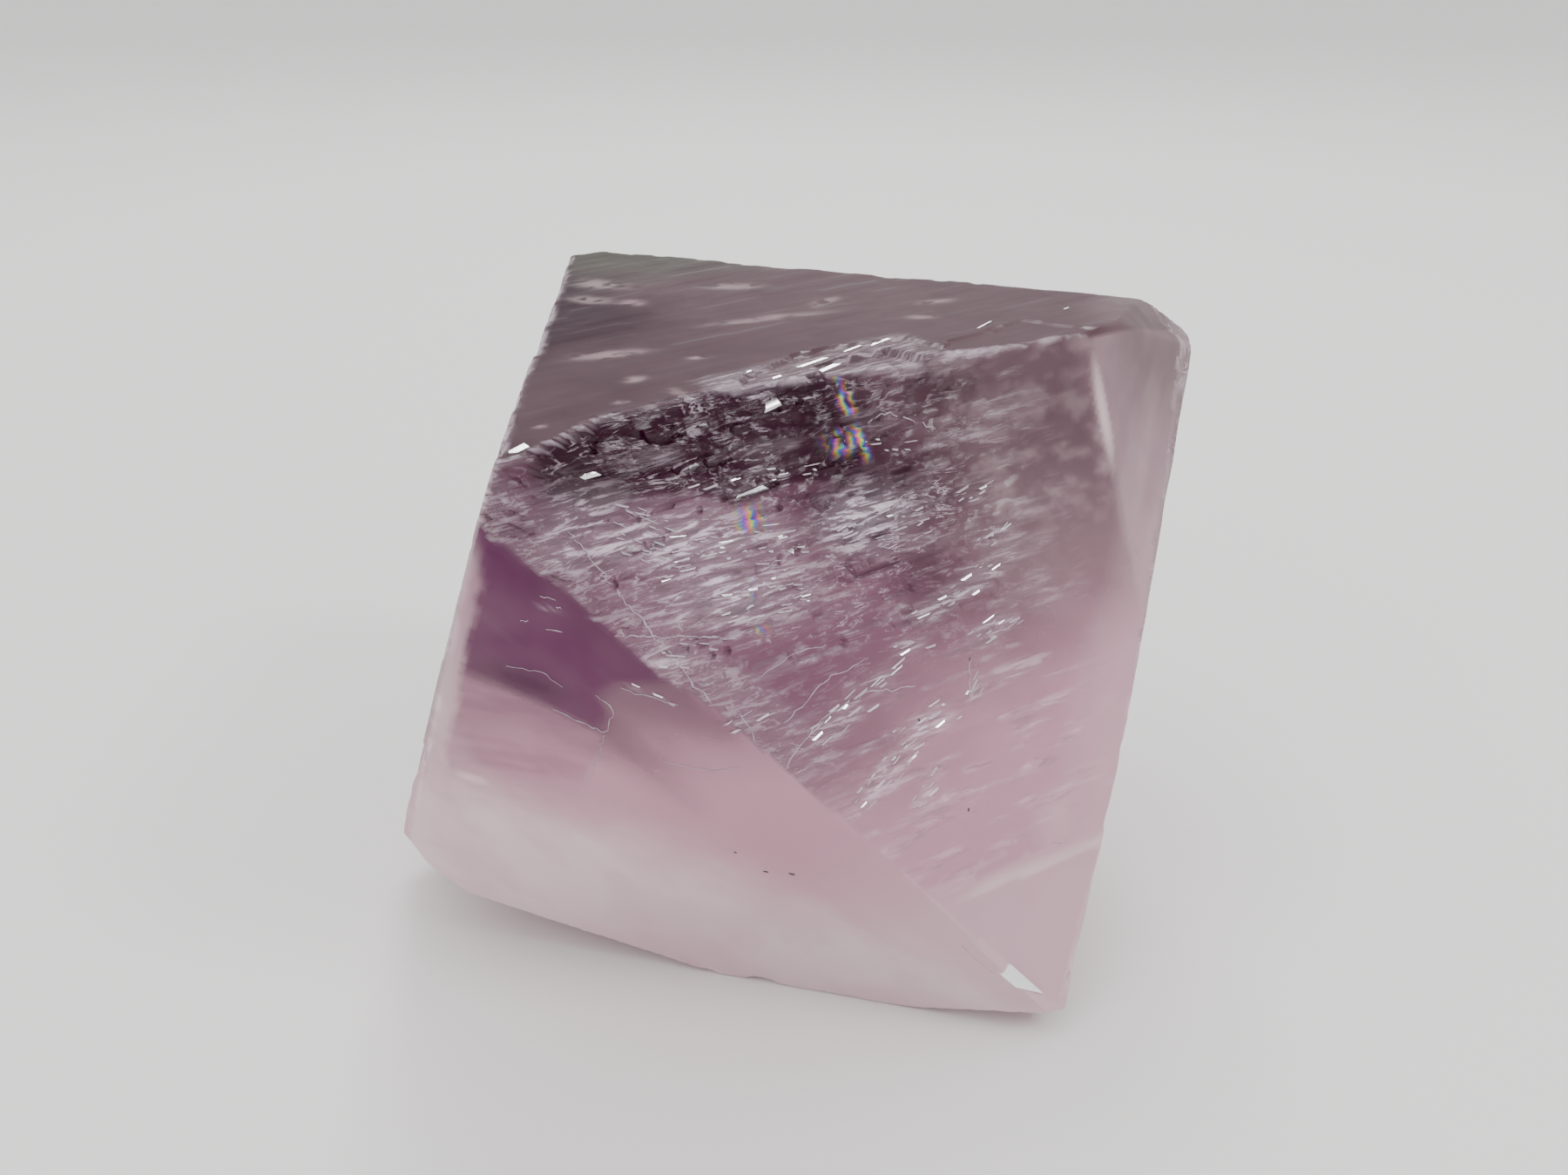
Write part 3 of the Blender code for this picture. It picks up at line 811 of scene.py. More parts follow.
def crystal_fields(points, near):
    """Numbers from 0 to 1 for each point, which the skin's material turns into colour and finish.

    They are soft ovals, bands and straight-sided outlines on each face's own (u, v), whose limits are
    shifted by value noise. The strongest share wins wherever several meet. near is what neighbours
    gives for the points.
    """
    owner, spare, other, tip = near
    front, top, lower = (owner == k for k in range(3))
    side = owner > 2
    x, y, z = points.T
    u, v = spot_on(points, FRONT)
    top_u, top_v = spot_on(points, TOP)
    low_u, low_v = spot_on(points, LOWER)
    soft = layered(x / 4.0 + 7, (y + z) / 4.0 + 3, 201) - 0.5
    swirl = layered(x / 2.0 + 17, (y - z) / 2.0 + 13, 205) - 0.5
    far_tip = smooth(5.5 - np.linalg.norm(points - FAR_TIP, axis=1), 0.0, 3.5)

    # The rim: whitish edges, partly chipping and partly a painted highlight, except between the front, top
    # and lower faces.
    chipped = smooth(layered(x * 0.9 + z * 0.7, y * 0.9 - z * 0.5, 241), 0.42, 0.62)
    outer = (np.minimum(owner, 3) + np.minimum(other, 3) > 2) | (owner + other == 1)
    rim = (1 - smooth(spare, 0.0, 0.34)) * np.where(outer, 0.1 + 0.6 * chipped, 0.08) * ~tip

    # The brow: deep shadow between its ledges, and milky cleavage below it.
    band = 2.3 + 0.16 * (u - 4.0) + 1.6 * swirl
    milky = front * ovals(u, v, MILKY_OVALS)
    dark = front * (1 - 0.92 * milky) * most(
        smooth(band - v, -0.5, 0.6) * smooth(24.0 - u, 0.0, 9.0) * smooth(u, 0.5, 3.0),
        0.46 * smooth(9.0 + 4 * soft - v, 0.0, 7.5) * smooth(28.4 - u, 0, 1.2) * (0.9 + 0.7 * swirl),
        ovals(u, v, DARK_OVALS),
    )

    # The purple corner of the lower face, its dark lens and the cloud that trails from it.
    limit = np.interp(low_v, *PURPLE_EDGE) + 0.7 * swirl
    corner = lower * smooth(limit - low_u, -0.35, 0.9) * (0.9 + 0.5 * soft)
    lens = lower * blob(low_u, low_v, 6.9, 6.2, 2.1, 0.9, -35.0)
    shadow = 0.22 * corner * smooth(4.2 + 4 * soft - 0.15 * low_u - low_v, 0.0, 3.5)
    wisp = layered((low_u + 0.8 * low_v) / 1.1, (low_v - 0.3 * low_u) / 3.6, 251)
    crack = 10.8 + 0.52 * (low_v - 5.4)
    cloud = smooth(crack - low_u, -0.15, 0.35) * smooth(low_v, 4.6, 5.6) * smooth(14.0 - low_u, 0.0, 4.0)
    beyond = lower * smooth(low_u - limit, -0.5, 0.5) * (1 - cloud) * smooth(16.0 - low_u, 0.0, 7.0)
    bevel_normal, bevel_point = plane_of([on_face(LOWER, *spot) for spot in LEFT_BEVEL])
    off_bevel = points_off(points, bevel_normal, bevel_point)
    strip = smooth(0.2 - off_bevel - 0.35 * swirl * smooth(low_v, 1.0, 3.0), 0.0, 0.17)
    strip = strip * lower * smooth(low_v, 1.0, 3.0)
    pink = most(
        front * smooth(v + 0.3 * (u - 15) + 4 * soft, 8.5, 19.0),
        lower * smooth(low_u - limit + 3 * swirl, -1.0, 6.5),
        side * smooth(19.0 + 8 * soft - z, 0.0, 9.0),
        0.7 * lower * cloud * smooth(low_u - limit, -0.3, 0.8),
        0.8 * strip,
    )
    purple = (1 - 0.75 * strip * smooth(low_v, 0.5, 5.0)) * most(
        corner,
        lens,
        lower * cloud * (0.26 + 0.2 * smooth(wisp, 0.35, 0.65)),
        beyond * 0.3 * smooth(3.5 - low_v, -1.5, 3.0),
        side * 0.6 * smooth(z + 8 * soft, 12.0, 22.0) * (0.8 + 0.8 * swirl) * smooth(spare, 0, 2),
    )
    purple = most(purple, 0.22 * front * (1 - pink))

    # Grey-green at the back of the top face, and grey, mottled stone to the right of the brow.
    beside = front * smooth(u, 16.0, 23.0) * smooth(29.0 - u, 0.0, 0.6)
    beside = beside * smooth(15.0 + 3 * soft - v, 0.0, 7.0)
    green = most(top * smooth(top_v + 5 * soft, 13.0, 27.0), 0.3 * beside, 0.3 * top, 0.5 * far_tip)
    # Painted shade over the top face: darker toward its left end and at its back left, lighter to the right.
    back_left = smooth(top_v, 10.0, 16.0) * smooth(18.0 - top_u, 0.0, 6.0)
    top_painted_shade = 0.76 - 0.30 * smooth(top_u, 8.0, 28.0) + 0.34 * back_left + 0.25 * swirl
    dark = most(dark, shadow, 0.4 * lens, top * top_painted_shade, 0.25 * far_tip * (1 - top))
    dark = dark * (1 - 0.5 * far_tip * (0.7 + swirl))

    # Pale zones: the milky foot, the sliver and its step, the crest above the foot, facets and tips. The
    # pale on the step and on the crest is a painted highlight.
    mottled = 1.0 + 0.7 * (layered(low_u / 3.0, low_v / 1.6, 271) - 0.5)
    mottles = smooth(layered(u / 0.9, v / 0.5, 291), 0.42, 0.8) * smooth(10.0 - v, 0.0, 4.0)
    crest_v = np.interp(u, *CREST) + 0.12 * swirl
    crest = smooth(v - crest_v, -1.0, -0.15) * smooth(crest_v - v, -0.06, 0.02) * smooth(u, 13.5, 17.5)
    foot = smooth(v - crest_v, -0.02, 0.05) * smooth(u, 13.0, 15.0)
    facet = lower * within(low_u, low_v, FOOT_FACET, 0.2)
    facet = most(facet, front * blob(u, v, 17.1, 24.0, 0.5, 0.3, -30.0))
    pale = most(
        lower * 0.95 * mottled * smooth(0.66 * low_u + low_v + 3 * soft + 2 * swirl, 17.0, 24.5),
        lower * 0.8 * blob(low_u, low_v, 10.0, 13.6, 1.0, 0.4, -40.0),
        lower * 0.3 * smooth(low_v + 4 * swirl, 10.0, 15.0),
        lower * 0.6 * smooth(low_u + 1.5 * swirl, 19.5, 27.5),
        side * 0.7 * smooth(11.0 + 8 * soft + 8 * swirl - z, 0.0, 9.0),
        front * 0.3 * smooth(u + 0.56 * v + 1.5 * swirl, 31.0, 35.0),
        # Painted highlight on the step where the brow ends, and on the strip beside it.
        front * smooth(u + 0.02 * v - STRIPE, 0.0, 0.5) * (0.40 + 0.4 * swirl),
        front * 0.85 * blob(u, v, 28.5 + 0.3 * swirl, 3.6, 0.45, 3.0, 2.0),
        front * ovals(u, v, PALE_OVALS),
        # Painted highlight along the crest above the foot.
        front * most(0.8 * crest, 0.25 * foot),
        0.55 * facet,
        strip * (0.2 + 0.4 * smooth(low_v, 3.0, 12.0) + 0.5 * swirl),
        beside * (0.1 + 0.25 * mottles),
        far_tip * (0.3 + 0.6 * swirl),
        tip * smooth(12.0 - z, 0.0, 6.0) * 0.4,
    )

    # Frost and thin bright lines: broken cleavage on the brow, the ridge, the shelves and bruises.
    ridge = smooth(2.1 - points_off(points, LOWER[3], LOWER[0]), 0.0, 0.5)
    ridge = front * ridge * smooth(22.0 - low_u, 0.0, 9.0)
    faint = smooth(layered(u / 2.6, v / 0.5, 211), 0.54, 0.68) * smooth(24.0 - v, 0.0, 8.0)
    faint = faint * smooth(27.0 - u, 0.0, 6.0) * (1 - 0.8 * smooth(dark, 0.4, 0.9))
    shelf = top * smooth(5.6 - top_v, 0.0, 1.0) * smooth(top_u, 10.5, 12.0) * smooth(22.5 - top_u, 0.0, 1.5)
    bruise = smooth(layered(x / 3 + z / 4, y / 3 - z / 5, 261), 0.5, 0.65)
    bruise = side * (1 - smooth(spare, 0.3, 3.5)) * bruise
    patchy = 0.3 + 0.7 * smooth(layered(u / 2.4, v / 1.4, 231), 0.42, 0.56)
    frost = most(front * ovals(u, v, FROST_OVALS), front * 0.38 * faint, 0.32 * ridge)
    frost = most(frost, milky, 0.4 * shelf, 0.35 * bruise)
    lines = front * most(0.38 * dark, 0.5 * smooth(14.0 - v, 0.0, 8.0) * smooth(v, 1.0, 4.0))
    lines = most(lines * smooth(25.5 - u, 0.0, 6.0) * patchy, 0.4 * ridge, 0.6 * bruise)
    for face, cu, cv, length, breadth, heading in PATCHES:
        patch = blob(*spot_on(points, face), cu, cv, 0.6 * length, 0.55 * breadth, heading)
        strength = 0.6 if face is FRONT and cv > 7.0 else 0.25
        frost = most(frost, strength * patch * (owner == number_of(face)))

    film = front * ovals(u, v, RAINBOWS) * smooth(layered(u * 3.0, v * 3.0, 221), 0.38, 0.55)
    milk = most(pink, pale, 0.7 * milky, 0.45 * top, 0.5 * ridge, 0.4 * side, 0.22 + 0.18 * (1 - dark))
    milk = most(milk, film, 0.9 * purple * lower)

    # The lifted flakes on the top face, and the paler rims of the two faces beside the front one, a painted
    # highlight.
    for cu, cv, length, width, heading in TOP_FLAKES:
        leaf = top * blob(top_u, top_v + 0.8 * swirl, cu, cv, length, 2.4 * width, heading)
        leaf = leaf * smooth(layered(top_u / 0.7, top_v / 0.4, 281), 0.28, 0.5)
        pale = most(pale, 0.42 * leaf)
        dark = dark * (1 - 0.8 * leaf)
    pale = most(pale, 0.6 * side * ((other == 0) | (other == 2)) * (1 - smooth(spare, 0.0, 1.5)))
    return dict(zip(FIELDS, (dark, purple, pink, pale, green, frost, lines, milk, rim, film)))


# ---------------------------------------------------------------- settings
def colour_setting(name, description, code):
    """A colour that can be changed in the panel, given here as a hex sRGB code."""
    return bpy.props.FloatVectorProperty(
        name=name, description=description, subtype="COLOR", size=4, min=0.0, max=1.0, default=linear(code)
    )


def strength_setting(name, description, value, **unit):
    """A light's strength."""
    return bpy.props.FloatProperty(name=name, description=description, default=value, min=0.0, **unit)


class CrystalSettings(bpy.types.PropertyGroup):
    """Sizes and colours of the crystal."""

    cells: bpy.props.IntProperty(
        name="Cells", description="Grid cells along each edge", default=155, min=20, max=156
    )
    # Dark is painted shade: deep in the brow, over the top face and in the grooves between the white streaks.
    dark: colour_setting("Dark", "Deep shadow inside the brow", "#2e081d")
    purple: colour_setting("Purple", "Purple growth zone", "#560545")
    mauve: colour_setting("Mauve", "Clear zone", "#8b6374")
    pink: colour_setting("Pink", "Clear zone near the foot", "#d59db1")
    pale: colour_setting("Pale", "Palest zone", "#f8dce2")
    grey_green: colour_setting("Grey green", "Tinge along the far edge", "#6d7262")
    # Frost also colours the painted highlight along the rims.
    frost: colour_setting("Frost", "Broken cleavage", "#f1e0ec")
    tint: colour_setting("Tint", "Colour of the depth", "#c79dbb")
    splinter: colour_setting("Splinter", "Shade in the splinters", "#d9c6d2")
    flash: colour_setting("Flash", "Cracks that hold air", "#f4f2f3")
    # Glint white and its shade colour the painted glint above the right foot.
    glint_white: colour_setting("Fresh", "Fresh break", "#ffffff")
    glint_white_shade: colour_setting("Fresh shade", "Shade in the fresh break", "#f3eef1")
    grain: colour_setting("Grain", "Dark grains", "#2b2129")
    grain_shade: colour_setting("Grain shade", "Lighter part of the dark grains", "#5b4a53")


class StageSettings(bpy.types.PropertyGroup):
    """The floor, the lights and the camera."""

    floor: colour_setting("Floor", "Floor colour", "#efeeec")
    sky_colour: colour_setting("Sky colour", "Colour of the even light", "#f2f2f3")
    sun: strength_setting("Sun", "Broad daylight", 1.1)
    key: strength_setting("Key", "Key softbox", 0.2, unit="POWER")
    back: strength_setting("Back", "Back softbox", 0.75, unit="POWER")
    fill: strength_setting("Fill", "Fill softbox", 0.65, unit="POWER")
    sky: strength_setting("Sky", "Even light", 1.5)


# ---------------------------------------------------------------- the stage, in metres and degrees
FLOOR_HALF = 3.0
SOFTBOXES = {
    "key": ((-0.2, -0.28, 0.2), 0.22),
    "back": ((0.0, 0.25, 0.36), 0.16),
    "fill": ((0.27, -0.18, 0.32), 0.14),
}
LIT_POINT = Vector((0.0, 0.0, 0.014))
SUN_SPREAD = 70.0
SUN_TILT = (14.0, -20.0)
# The even light's strength against the height of the direction it comes from, a share of the most.
SKY_LEVELS = ((0.0, 0.74), (0.07, 0.72), (0.22, 0.26), (0.6, 0.32), (0.9, 1.0))
CAMERA_PLACE = (0.00016, -0.06995, 0.04552)
CAMERA_PITCH = 23.1585


def placed(name, data, place=(0.0, 0.0, 0.0), turn=(0.0, 0.0, 0.0)):
    """Put an object in the scene, turned by angles in radians."""
    item = bpy.data.objects.new(name, data)
    item.location = place
    item.rotation_euler = turn
    bpy.context.scene.collection.objects.link(item)
    return item


class CRYSTAL_OT_stage(bpy.types.Operator):
    """Make the floor, the lights and the camera"""

    bl_idname = "crystal.stage"
    bl_label = "Stage"

    def execute(self, context):
        settings = context.scene.crystal_stage
        mesh = bpy.data.meshes.new("floor")
        corners = [(FLOOR_HALF * x, FLOOR_HALF * y, 0.0) for x, y in ((-1, -1), (1, -1), (1, 1), (-1, 1))]
        mesh.from_pydata(corners, [], [(0, 1, 2, 3)])
        mesh.materials.append(stage_material(settings.floor))
        floor = placed("floor", mesh)
        for name, (place, size) in SOFTBOXES.items():
            light = bpy.data.lights.new(name, "AREA")
            light.energy = getattr(settings, name)
            light.shape = "SQUARE"
            light.size = size
            placed(name, light, place, (LIT_POINT - Vector(place)).to_track_quat("-Z", "Y").to_euler())
        sun = bpy.data.lights.new("daylight", "SUN")
        sun.energy = settings.sun
        sun.angle = math.radians(SUN_SPREAD)
        placed("daylight", sun, turn=(*map(math.radians, SUN_TILT), 0.0))
        world = bpy.data.worlds.new("studio")
        world.use_nodes = True
        add = functools.partial(add_node, world.node_tree)
        height = add("SeparateXYZ", (add("TexCoord", output="Object"),), 2)
        stops = [(place, (share, share, share, 1.0)) for place, share in SKY_LEVELS]
        level = set_stops(add("ValToRGB", (height,)), stops)
        strength = add("Math", (level, settings.sky), operation="MULTIPLY")
        background = world.node_tree.nodes["Background"]
        feed(world.node_tree, background, {"Color": settings.sky_colour, "Strength": strength})
        context.scene.world = world
        camera = bpy.data.cameras.new("camera")
        camera.lens = 36.0
        camera.sensor_width = 36.0
        camera.clip_start = 0.001
        pitch = math.radians(90 - CAMERA_PITCH)
        context.scene.camera = placed("camera", camera, CAMERA_PLACE, (pitch, 0.0, 0.0))
        return {"FINISHED"}


# ---------------------------------------------------------------- the crystal's pieces
class CRYSTAL_OT_body(bpy.types.Operator):
    """Make the crystal's skin"""

    bl_idname = "crystal.body"
    bl_label = "Crystal"

    def execute(self, context):
        settings = context.scene.crystal_body
        points, triangles = crystal_points(settings.cells)
        body = make_piece("crystal_skin", points, triangles, crystal_material(settings), smooth_angle=22.0)
        near = neighbours(points - MIDDLE)
        for name, values in crystal_fields(points, near).items():
            body.data.attributes.new(name, "FLOAT", "POINT").data.foreach_set(
                "value", np.clip(values, 0, 1).astype(np.float32)
            )
        lay_uv(body.data, points, triangles, near[0])
        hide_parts("crystal")
        return {"FINISHED"}


# Patches of splinters: face, middle (u, v), length, breadth and heading in degrees.
PATCHES = (
    (FRONT, 17.9, 9.5, 3.0, 0.9, -8),
    (FRONT, 20.3, 9.0, 2.2, 0.8, -12),
    (FRONT, 15.7, 10.7, 1.4, 0.7, -5),
    (FRONT, 20.0, 11.2, 2.4, 1.0, -14),
    (FRONT, 11.6, 12.7, 2.8, 1.1, -18),
    (FRONT, 14.1, 11.6, 1.6, 0.8, -14),
    (FRONT, 13.0, 15.6, 3.6, 1.1, -24),
    (FRONT, 15.7, 14.1, 3.0, 1.3, -14),
    (FRONT, 15.0, 16.8, 1.6, 0.6, -30),
    (FRONT, 18.6, 13.4, 1.3, 0.7, -40),
    (FRONT, 21.6, 7.4, 1.6, 0.6, -20),
    (FRONT, 21.4, 5.4, 1.6, 1.2, -10),
    (FRONT, 16.3, 5.5, 4.2, 2.2, -3),
    (FRONT, 9.4, 6.9, 4.4, 1.6, 3),
    (FRONT, 8.2, 4.3, 7.5, 1.7, 6),
    (FRONT, 4.2, 2.6, 3.0, 2.4, 30),
    (FRONT, 7.5, 0.9, 2.6, 0.7, 4),
    (FRONT, 12.5, 1.6, 2.8, 0.8, 4),
    (FRONT, 18.0, 1.6, 2.6, 0.9, 10),
    (FRONT, 5.5, 8.2, 2.8, 1.4, 20),
    (FRONT, 7.6, 11.4, 1.8, 0.8, -10),
    (LOWER, 9.9, 1.8, 1.8, 0.25, -30),
    (LOWER, 4.6, 1.9, 0.9, 0.3, -40),
    (LEFT, 8.0, 3.5, 3.0, 0.6, 10),
    (LEFT, 18.0, 15.0, 2.0, 0.5, 40),
    (RIGHT_BACK, 9.0, 4.0, 3.0, 0.6, 0),
    (RIGHT_BACK, 20.0, 6.0, 3.4, 0.7, 12),
    (BACK, 8.0, 3.0, 2.4, 0.5, 6),
    (BACK, 18.0, 4.0, 4.0, 0.7, -6),
    (LEFT_BACK, 9.0, 5.0, 2.4, 0.5, 18),
    (LEFT_BACK, 20.0, 8.0, 3.0, 0.6, -14),
)
SPLINTER_SEED = 7
ROW_GAP = 0.14
# How far a row of splinters starts along its patch for each mm across it.
ROW_SLANT = 0.45
SPLINTER_LENGTH = (0.2, 1.1)
SPLINTER_WIDTH = (0.03, 0.09)
BRIGHT_SHARE = 0.22


def patch_rows(rng, face):
    """Rows of splinters side by side in a face's slanted patches: (u, v, length, width, heading)."""
    rows = []
    for _, cu, cv, length, breadth, heading in (patch for patch in PATCHES if patch[0] is face):
        for line in np.arange(-0.5 * breadth, 0.5 * breadth, ROW_GAP):
            reached = -0.5 * length + rng.uniform(0, 0.5)
            while reached < 0.5 * length:
                piece = rng.uniform(*SPLINTER_LENGTH)
                if rng.random() < 0.5:
                    turn = math.radians(heading + rng.normal(0, 5))
                    x = reached + 0.5 * piece + ROW_SLANT * line
                    y = line + rng.normal(0, 0.04)
                    rows.append((
                        cu + math.cos(turn) * x - math.sin(turn) * y,
                        cv + math.sin(turn) * x + math.cos(turn) * y,
                        piece,
                        rng.uniform(*SPLINTER_WIDTH),
                        turn,
                    ))
                reached += piece + rng.uniform(0.05, 0.5)
    return np.array(rows)


def turned(face, turn):
    """The directions along and across a heading on a face."""
    cosine, sine = np.cos(turn)[:, None], np.sin(turn)[:, None]
    return cosine * face[1] + sine * face[2], -sine * face[1] + cosine * face[2]


class CRYSTAL_OT_splinters(bpy.types.Operator):
    """Make the splinters that stand on the broken parts of the faces"""

    bl_idname = "crystal.splinters"
    bl_label = "Splinters"

    def execute(self, context):
        rng = np.random.default_rng(SPLINTER_SEED)
        sets = []
        for face in (FRONT, LOWER, LEFT, RIGHT_BACK, BACK, LEFT_BACK):
            u, v, length, width, turn = patch_rows(rng, face).T
            along, across = turned(face, turn)
            low = rng.uniform(0.0, 0.02, len(u))
            high = low + 0.35 * width * rng.uniform(0.6, 1.3, len(u))
            outward = np.broadcast_to(face[3], along.shape)
            sets.append((skin_point(face, u, v), along, across, outward, np.c_[length, width, low, high]))
        parts = [np.vstack(rows) for rows in zip(*sets)]
        bright = rng.random(len(parts[0])) < BRIGHT_SHARE
        settings = context.scene.crystal_body
        for name, chosen, material in (
            ("white_splinters", ~bright, splinter_material(settings)),
            ("bright_splinters", bright, air_film_material(settings)),
        ):
            face_outward(make_piece(name, *shards(*(rows[chosen] for rows in parts)), material))
        return {"FINISHED"}


# Bright plates on the ledges: (u, v) on the top face, heading, length and width.
LEDGE_PLATES = (
    (1.95, 1.75, 14, 1.25, 0.32),
    (16.6, 3.55, 8, 3.10, 0.20),
    (16.5, 4.25, 2, 2.60, 0.13),
    (17.9, 4.05, 0, 1.20, 0.10),
    (13.3, 2.30, 6, 0.95, 0.55),
    (20.6, 4.75, 3, 1.40, 0.12),
    (19.1, 4.75, 3, 1.30, 0.08),
    (14.4, 3.60, 0, 0.60, 0.12),
    (13.6, 4.50, 4, 0.35, 0.08),
    (9.6, 2.05, -12, 0.45, 0.07),
    (25.5, 3.70, 12, 1.50, 0.05),
    (30.2, 3.45, 0, 0.45, 0.06),
)
# Bright plates on the brow: a point near each in mm, then heading, length and width.
BROW_PLATES = (
    (-7.10, -14.62, 26.29, -6, 1.50, 0.12),
    (-0.81, -11.48, 24.58, -2, 1.80, 0.30),
    (0.71, -11.88, 22.10, 60, 0.55, 0.25),
    (-3.2, -12.4, 26.2, 12, 0.60, 0.14),
    (3.0, -8.8, 26.3, 70, 0.40, 0.16),
)
PLATE_TILT = 14.5
PLATE_THICKNESS = 0.05


class CRYSTAL_OT_plates(bpy.types.Operator):
    """Make the bright plates on the brow and on the ledges behind it"""

    bl_idname = "crystal.plates"
    bl_label = "Bright plates"

    def execute(self, context):
        ledges = np.array(LEDGE_PLATES)
        on_brow = np.array(BROW_PLATES)
        q = np.vstack([on_face(TOP, ledges[:, 0], ledges[:, 1]), on_brow[:, :3]]) - MIDDLE
        centres = MIDDLE + q * skin(q)[:, None]
        headings, lengths, widths = np.vstack([ledges[:, 2:], on_brow[:, 3:]]).T
        tilt = math.radians(PLATE_TILT)
        outward = np.array([0.0, -math.sin(tilt), math.cos(tilt)])
        along = turned(TOP, np.radians(headings))[0]
        along = along - (along @ outward)[:, None] * outward
        thickness = np.full(len(lengths), PLATE_THICKNESS)
        sizes = np.c_[lengths, widths, thickness, thickness]
        outwards = np.broadcast_to(outward, centres.shape)
        points, faces = shards(centres, along, np.cross(outward, along), outwards, sizes)
        make_piece("bright_plates", points, faces, air_film_material(context.scene.crystal_body))
        return {"FINISHED"}


# Hairline cracks: face, width, and (u, v) points along each.
HAIR_CRACKS = (
    (LOWER, 0.06, ((8.6, 6.3), (9.3, 6.05), (10.0, 5.6), (10.7, 5.36), (10.1, 4.4), (9.7, 3.85), (8.9, 3.9))),
    (LOWER, 0.035, ((10.7, 5.4), (11.3, 6.4), (11.8, 7.2), (12.7, 9.1))),
    (LOWER, 0.06, ((9.1, 2.6), (9.9, 1.95), (10.8, 1.2))),
    (LOWER, 0.03, ((13.0, 4.3), (13.7, 3.6), (14.4, 2.8), (14.7, 1.5))),
    (LOWER, 0.03, ((5.9, 6.2), (6.4, 5.5), (6.9, 5.0), (7.8, 4.9))),
    (LOWER, 0.06, ((5.3, 2.9), (5.5, 2.6), (5.7, 2.4))),
    (LOWER, 0.05, ((4.5, 3.45), (4.6, 3.2))),
    (LOWER, 0.04, ((3.9, 1.75), (4.1, 1.5), (4.35, 1.3))),
    (LOWER, 0.05, ((4.7, 1.6), (4.85, 1.4))),
    (FRONT, 0.07, ((1.3, 1.9), (2.35, 3.87), (3.51, 5.82), (5.08, 8.28), (6.3, 10.2))),
    (FRONT, 0.06, ((3.2, 6.8), (4.6, 7.2), (6.4, 7.7), (8.1, 8.3))),
    (FRONT, 0.05, ((7.5, 11.0), (7.9, 11.9), (7.8, 12.6))),
    (FRONT, 0.05, ((8.9, 13.6), (10.9, 12.3), (13.4, 11.9), (15.6, 12.3))),
    (FRONT, 0.04, ((9.3, 12.0), (11.4, 10.9), (13.8, 10.6))),
    (FRONT, 0.04, ((8.6, 10.0), (10.2, 9.5), (12.0, 9.6))),
    (FRONT, 0.05, ((18.6, 12.0), (18.3, 13.0), (18.2, 13.8))),
    (FRONT, 0.06, ((17.5, -0.1), (18.4, -0.4), (19.4, 0.0), (20.2, 0.7), (20.7, 1.6))),
    (FRONT, 0.04, ((15.6, 24.7), (16.4, 25.8), (17.0, 26.6))),
    (FRONT, 0.04, ((21.1, 21.1), (21.5, 21.5), (21.8, 21.2))),
    (LEFT, 0.035, ((5.0, 2.0), (7.5, 4.2), (9.6, 5.0), (11.2, 6.6))),
    (RIGHT_BACK, 0.035, ((7.0, 2.0), (9.6, 3.6), (11.6, 6.0), (12.6, 8.6))),
    (BACK, 0.035, ((4.0, 2.0), (7.0, 3.2), (10.0, 5.4), (13.6, 6.2))),
    (BACK, 0.03, ((20.0, 1.0), (21.2, 3.0), (22.6, 4.4))),
    (LEFT_BACK, 0.035, ((6.0, 3.0), (9.0, 3.8), (12.6, 6.2), (14.0, 9.0))),
)
CRACK_SEED = 19
CRACK_SPACING = 0.22
CRACK_WANDER = 0.045
CRACK_ROOT = 0.08
CRACK_RISE = 0.02


def hair_line(face, path, width, rng):
    """A closed, slightly ragged ribbon along a path of (u, v) points on a face.

    The path is cut into even steps, smoothed by threes and shaken a little; at each step the ribbon's
    four corners lie half a varying width to each side, just below and just above the skin.
    """
    path = np.array(path)
    stops = np.r_[0.0, np.cumsum(np.linalg.norm(np.diff(path, axis=0), axis=1))]
    places = np.linspace(0.0, stops[-1], max(4, int(stops[-1] / CRACK_SPACING)))
    uv = np.c_[np.interp(places, stops, path[:, 0]), np.interp(places, stops, path[:, 1])]
    uv[1:-1] = (uv[:-2] + uv[1:-1] + uv[2:]) / 3
    uv += rng.normal(0, CRACK_WANDER, uv.shape)
    centre = skin_point(face, uv[:, 0], uv[:, 1])
    run = np.gradient(centre, axis=0)
    run /= np.linalg.norm(run, axis=1)[:, None]
    across = np.cross(face[3], run)
    thin = 0.5 * width * rng.uniform(0.3, 1.0, (len(centre), 1))
    thin[0] = thin[-1] = 0.01
    low, high = centre - CRACK_ROOT * face[3], centre + CRACK_RISE * face[3]
    corners = [low - across * thin, low + across * thin, high + across * thin, high - across * thin]
    points = np.stack(corners, axis=1).reshape(-1, 3)
    steps = 4 * np.arange(len(centre) - 1)[:, None]
    sides = [steps + np.array([[k, (k + 1) % 4, (k + 1) % 4 + 4, k + 4]]) for k in range(4)]
    last = 4 * (len(centre) - 1)
    ends = np.array([[3, 2, 1, 0], [last, last + 1, last + 2, last + 3]])
    return points, np.vstack(sides + [ends])


class CRYSTAL_OT_hair_cracks(bpy.types.Operator):
    """Make the hairline cracks in the faces"""

    bl_idname = "crystal.hair_cracks"
    bl_label = "Hair cracks"

    def execute(self, context):
        rng = np.random.default_rng(CRACK_SEED)
        shells = [hair_line(face, path, width, rng) for face, width, path in HAIR_CRACKS]
        material = splinter_material(context.scene.crystal_body)
        face_outward(make_piece("hair_cracks", *joined(shells), material))
        return {"FINISHED"}


# The painted glint above the right foot, a white plate: (u, v) corners on the front face, how far its
# corners stand above the skin, which bulges between them, and how thick it is.
FOOT_GLINT = ((17.6, 25.7), (19.1, 27.85), (17.85, 27.3), (17.2, 26.45))
GLINT_RISE = 0.18
GLINT_THICKNESS = 0.3


